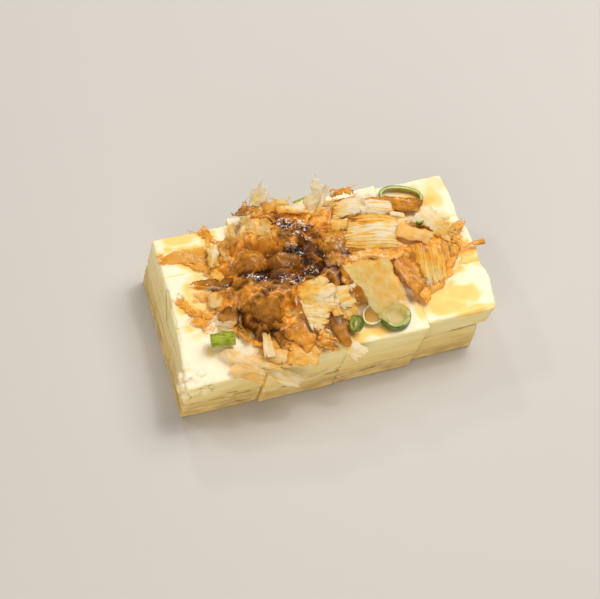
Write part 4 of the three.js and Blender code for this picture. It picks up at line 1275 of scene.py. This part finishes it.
def onion(name, finish, slot, length, outer, wall, at, lay, seed, facets=(0, 0), rough=0.12):
    """A length of stalk. outer are its two radii, wall is how thick it is, facets how many flat
    sides it has and how flat, rough how ragged its cuts are, and lay turns its upright axis about
    x, then y, then z."""
    around, half = 72, length / 2
    steps = max(3, int(length / 0.5))
    # The profile that goes round: z, how far through the wall from the skin, and how green.
    skins = [(half * (2 * i / steps - 1), 0.0, 1.0) for i in range(steps + 1)]
    top_face = [(half + 0.05, 0.14, 0.9), (half + 0.07, 0.38, 0.3), (half + 0.05, 0.75, 0.0)]
    inner = [(half * (1 - 2 * i / steps), 1.0, 0.05) for i in range(steps + 1)]
    under_face = [(-z, share, skin) for z, share, skin in top_face[::-1]]
    profile = skins + top_face + inner + under_face
    turns = np.arange(around) / around * 2 * math.pi
    points, skin, grain = [], [], []
    for z, share, green in profile:
        ring = np.stack([np.cos(turns), np.sin(turns), np.full(around, z / 3)], 1)
        uneven = 1 + 0.06 * lumps(ring, 0.9, seed) + 0.02 * lumps(ring, 0.2, seed)
        if facets[0]:
            uneven = uneven * (1 + facets[1] * np.cos(facets[0] * turns + seed))
        thick = wall * (1 + 0.35 * lumps(ring * (1, 1, 0), 0.8, seed + 3))
        out_x, out_y = outer[0] * uneven - thick * share, outer[1] * uneven - thick * share
        ragged = rough * lumps(ring, 0.35, seed + 5) * np.sign(z) * (abs(z) > half * 0.98)
        points.append(np.stack([np.cos(turns) * out_x, np.sin(turns) * out_y, z + ragged], 1))
        skin.append(np.full(around, green))
        grain.append(np.stack([np.full(around, z), turns * outer[0], np.full(around, seed)], 1))
    count = len(profile)
    faces = []
    for i in range(count):
        for j in range(around):
            a, b = i * around, (i + 1) % count * around
            k = (j + 1) % around
            faces.append([a + j, a + k, b + k, b + j])
    turned = Euler([math.radians(angle) for angle in lay], "XYZ").to_matrix()
    points = np.concatenate(points) @ np.array(turned).T + (at[0], at[1], TOP + at[2])
    skin, grain = np.concatenate(skin), np.concatenate(grain)
    piece(name + "_cut", points, faces, finish, slot, [name], skin=skin, grain=grain)


bright_green = onion_finish("bright_stalk", (0.32, 0.39, 0.009), (0.58, 0.62, 0.08))
dark_green = onion_finish("dark_ring", (0.10, 0.17, 0.008), (0.50, 0.54, 0.10))
pale_green = onion_finish("pale_ring", (0.50, 0.46, 0.13), (0.76, 0.68, 0.34))
onion("onion_stalk_left", bright_green, "onion", 9.4, (ONION_R, ONION_R * 0.92), 1.3,
      (-42, -21.2, ONION_R + 0.4), (0, 90, -5), facets=(5, 0.035), seed=2)
onion("onion_stalk_back", bright_green, "onion", 11, (ONION_R, ONION_R * 0.9), 1.3,
      (8.5, 33, ONION_R + 1.6), (0, 90, 12), facets=(5, 0.03), seed=5)
onion("onion_ring_back", dark_green, "onion", 2, (9.6, 5.4), 1.3, (48.3, 28, 1.5), (3, 2, -22), seed=7)
onion("onion_ring_front", dark_green, "onion", 3, (6.1, 5.8), 1.8, (27, -27.8, 1.9), (-4, 3, 0),
      rough=0.25, seed=9)
onion("onion_ring_pale", pale_green, "pale_onion", 2, (4.8, 4.2), 0.8, (18.6, -24.6, 1.9),
      (14, -6, 30), seed=12)
onion("onion_slice_front", dark_green, "onion", 2.2, (3.5, 3.3), 1.9, (10.2, -27.6, 3.4),
      (0, 53, 190), seed=15)
onion("onion_chip_right", dark_green, "onion", 1.4, (2.4, 1.9), 1.2, (50.6, 11.6, 5.4),
      (-18, 14, 40), rough=0.2, seed=18)

# ---------------------------------------------------------------- floor, light and camera
# A plain pale table under soft studio light, seen from above the front left.

floor_finish = new_finish("pale_table", {"Base Color": (0.56, 0.545, 0.52, 1), "Roughness": 0.7})[0]
bpy.ops.mesh.primitive_plane_add(size=4)
floor = bpy.context.object
floor.name = "table"
floor.data.materials.append(floor_finish)


def softbox(name, at, size, watts, tint):
    """A square lamp at a place in metres, turned to the food."""
    lamp = bpy.data.lights.new(name, "AREA")
    lamp.size, lamp.energy, lamp.color = size, watts, tint
    stand = bpy.data.objects.new(name, lamp)
    stand.location = at
    stand.rotation_euler = (Vector((0, 0, 0.02)) - Vector(at)).to_track_quat("-Z", "Y").to_euler()
    bpy.context.scene.collection.objects.link(stand)


softbox("window", (0.5, 0.2, 0.95), 0.7, 9.4, (1.0, 0.96, 0.91))
softbox("fill", (-0.36, -0.56, 0.32), 0.6, 2.5, (1.0, 0.92, 0.8))
# Small lamps, which glint in the wet sauce.
for i, at in enumerate([(-0.05, 0.62, 0.55), (-0.42, 0.42, 0.6), (0.28, 0.1, 0.75)]):
    softbox(f"glint_{i}", at, 0.07, 0.75, (1.0, 1.0, 1.0))
world = bpy.data.worlds.new("room")
world.use_nodes = True
background = world.node_tree.nodes["Background"].inputs
background["Color"].default_value = (1, 0.92, 0.79, 1)
background["Strength"].default_value = 0.2
bpy.context.scene.world = world
bpy.context.scene.view_settings.view_transform = "Standard"

# The camera looks down on the block from the front left, a little tilted.
AZIMUTH, ELEVATION, TILT = math.radians(-20.7), math.radians(57.6), math.radians(5)
DISTANCE, TO_THE_RIGHT, UP = 550, -2.8, 6.2
back = Vector((
    math.sin(AZIMUTH) * math.cos(ELEVATION),
    -math.cos(AZIMUTH) * math.cos(ELEVATION),
    math.sin(ELEVATION),
))
level = Vector((math.cos(AZIMUTH), math.sin(AZIMUTH), 0))
upward = back.cross(level)
right = math.cos(TILT) * level + math.sin(TILT) * upward
above = math.cos(TILT) * upward - math.sin(TILT) * level
lens = bpy.data.cameras.new("camera")
lens.lens, lens.sensor_width, lens.clip_start = 78, 36, 0.01
camera = bpy.data.objects.new("camera", lens)
place = (back * DISTANCE + right * TO_THE_RIGHT + above * UP + Vector(PLAN)) * MM
camera.matrix_world = Matrix((
    (right.x, above.x, back.x, place.x),
    (right.y, above.y, back.y, place.y),
    (right.z, above.z, back.z, place.z),
    (0, 0, 0, 1),
))
bpy.context.scene.collection.objects.link(camera)
bpy.context.scene.camera = camera
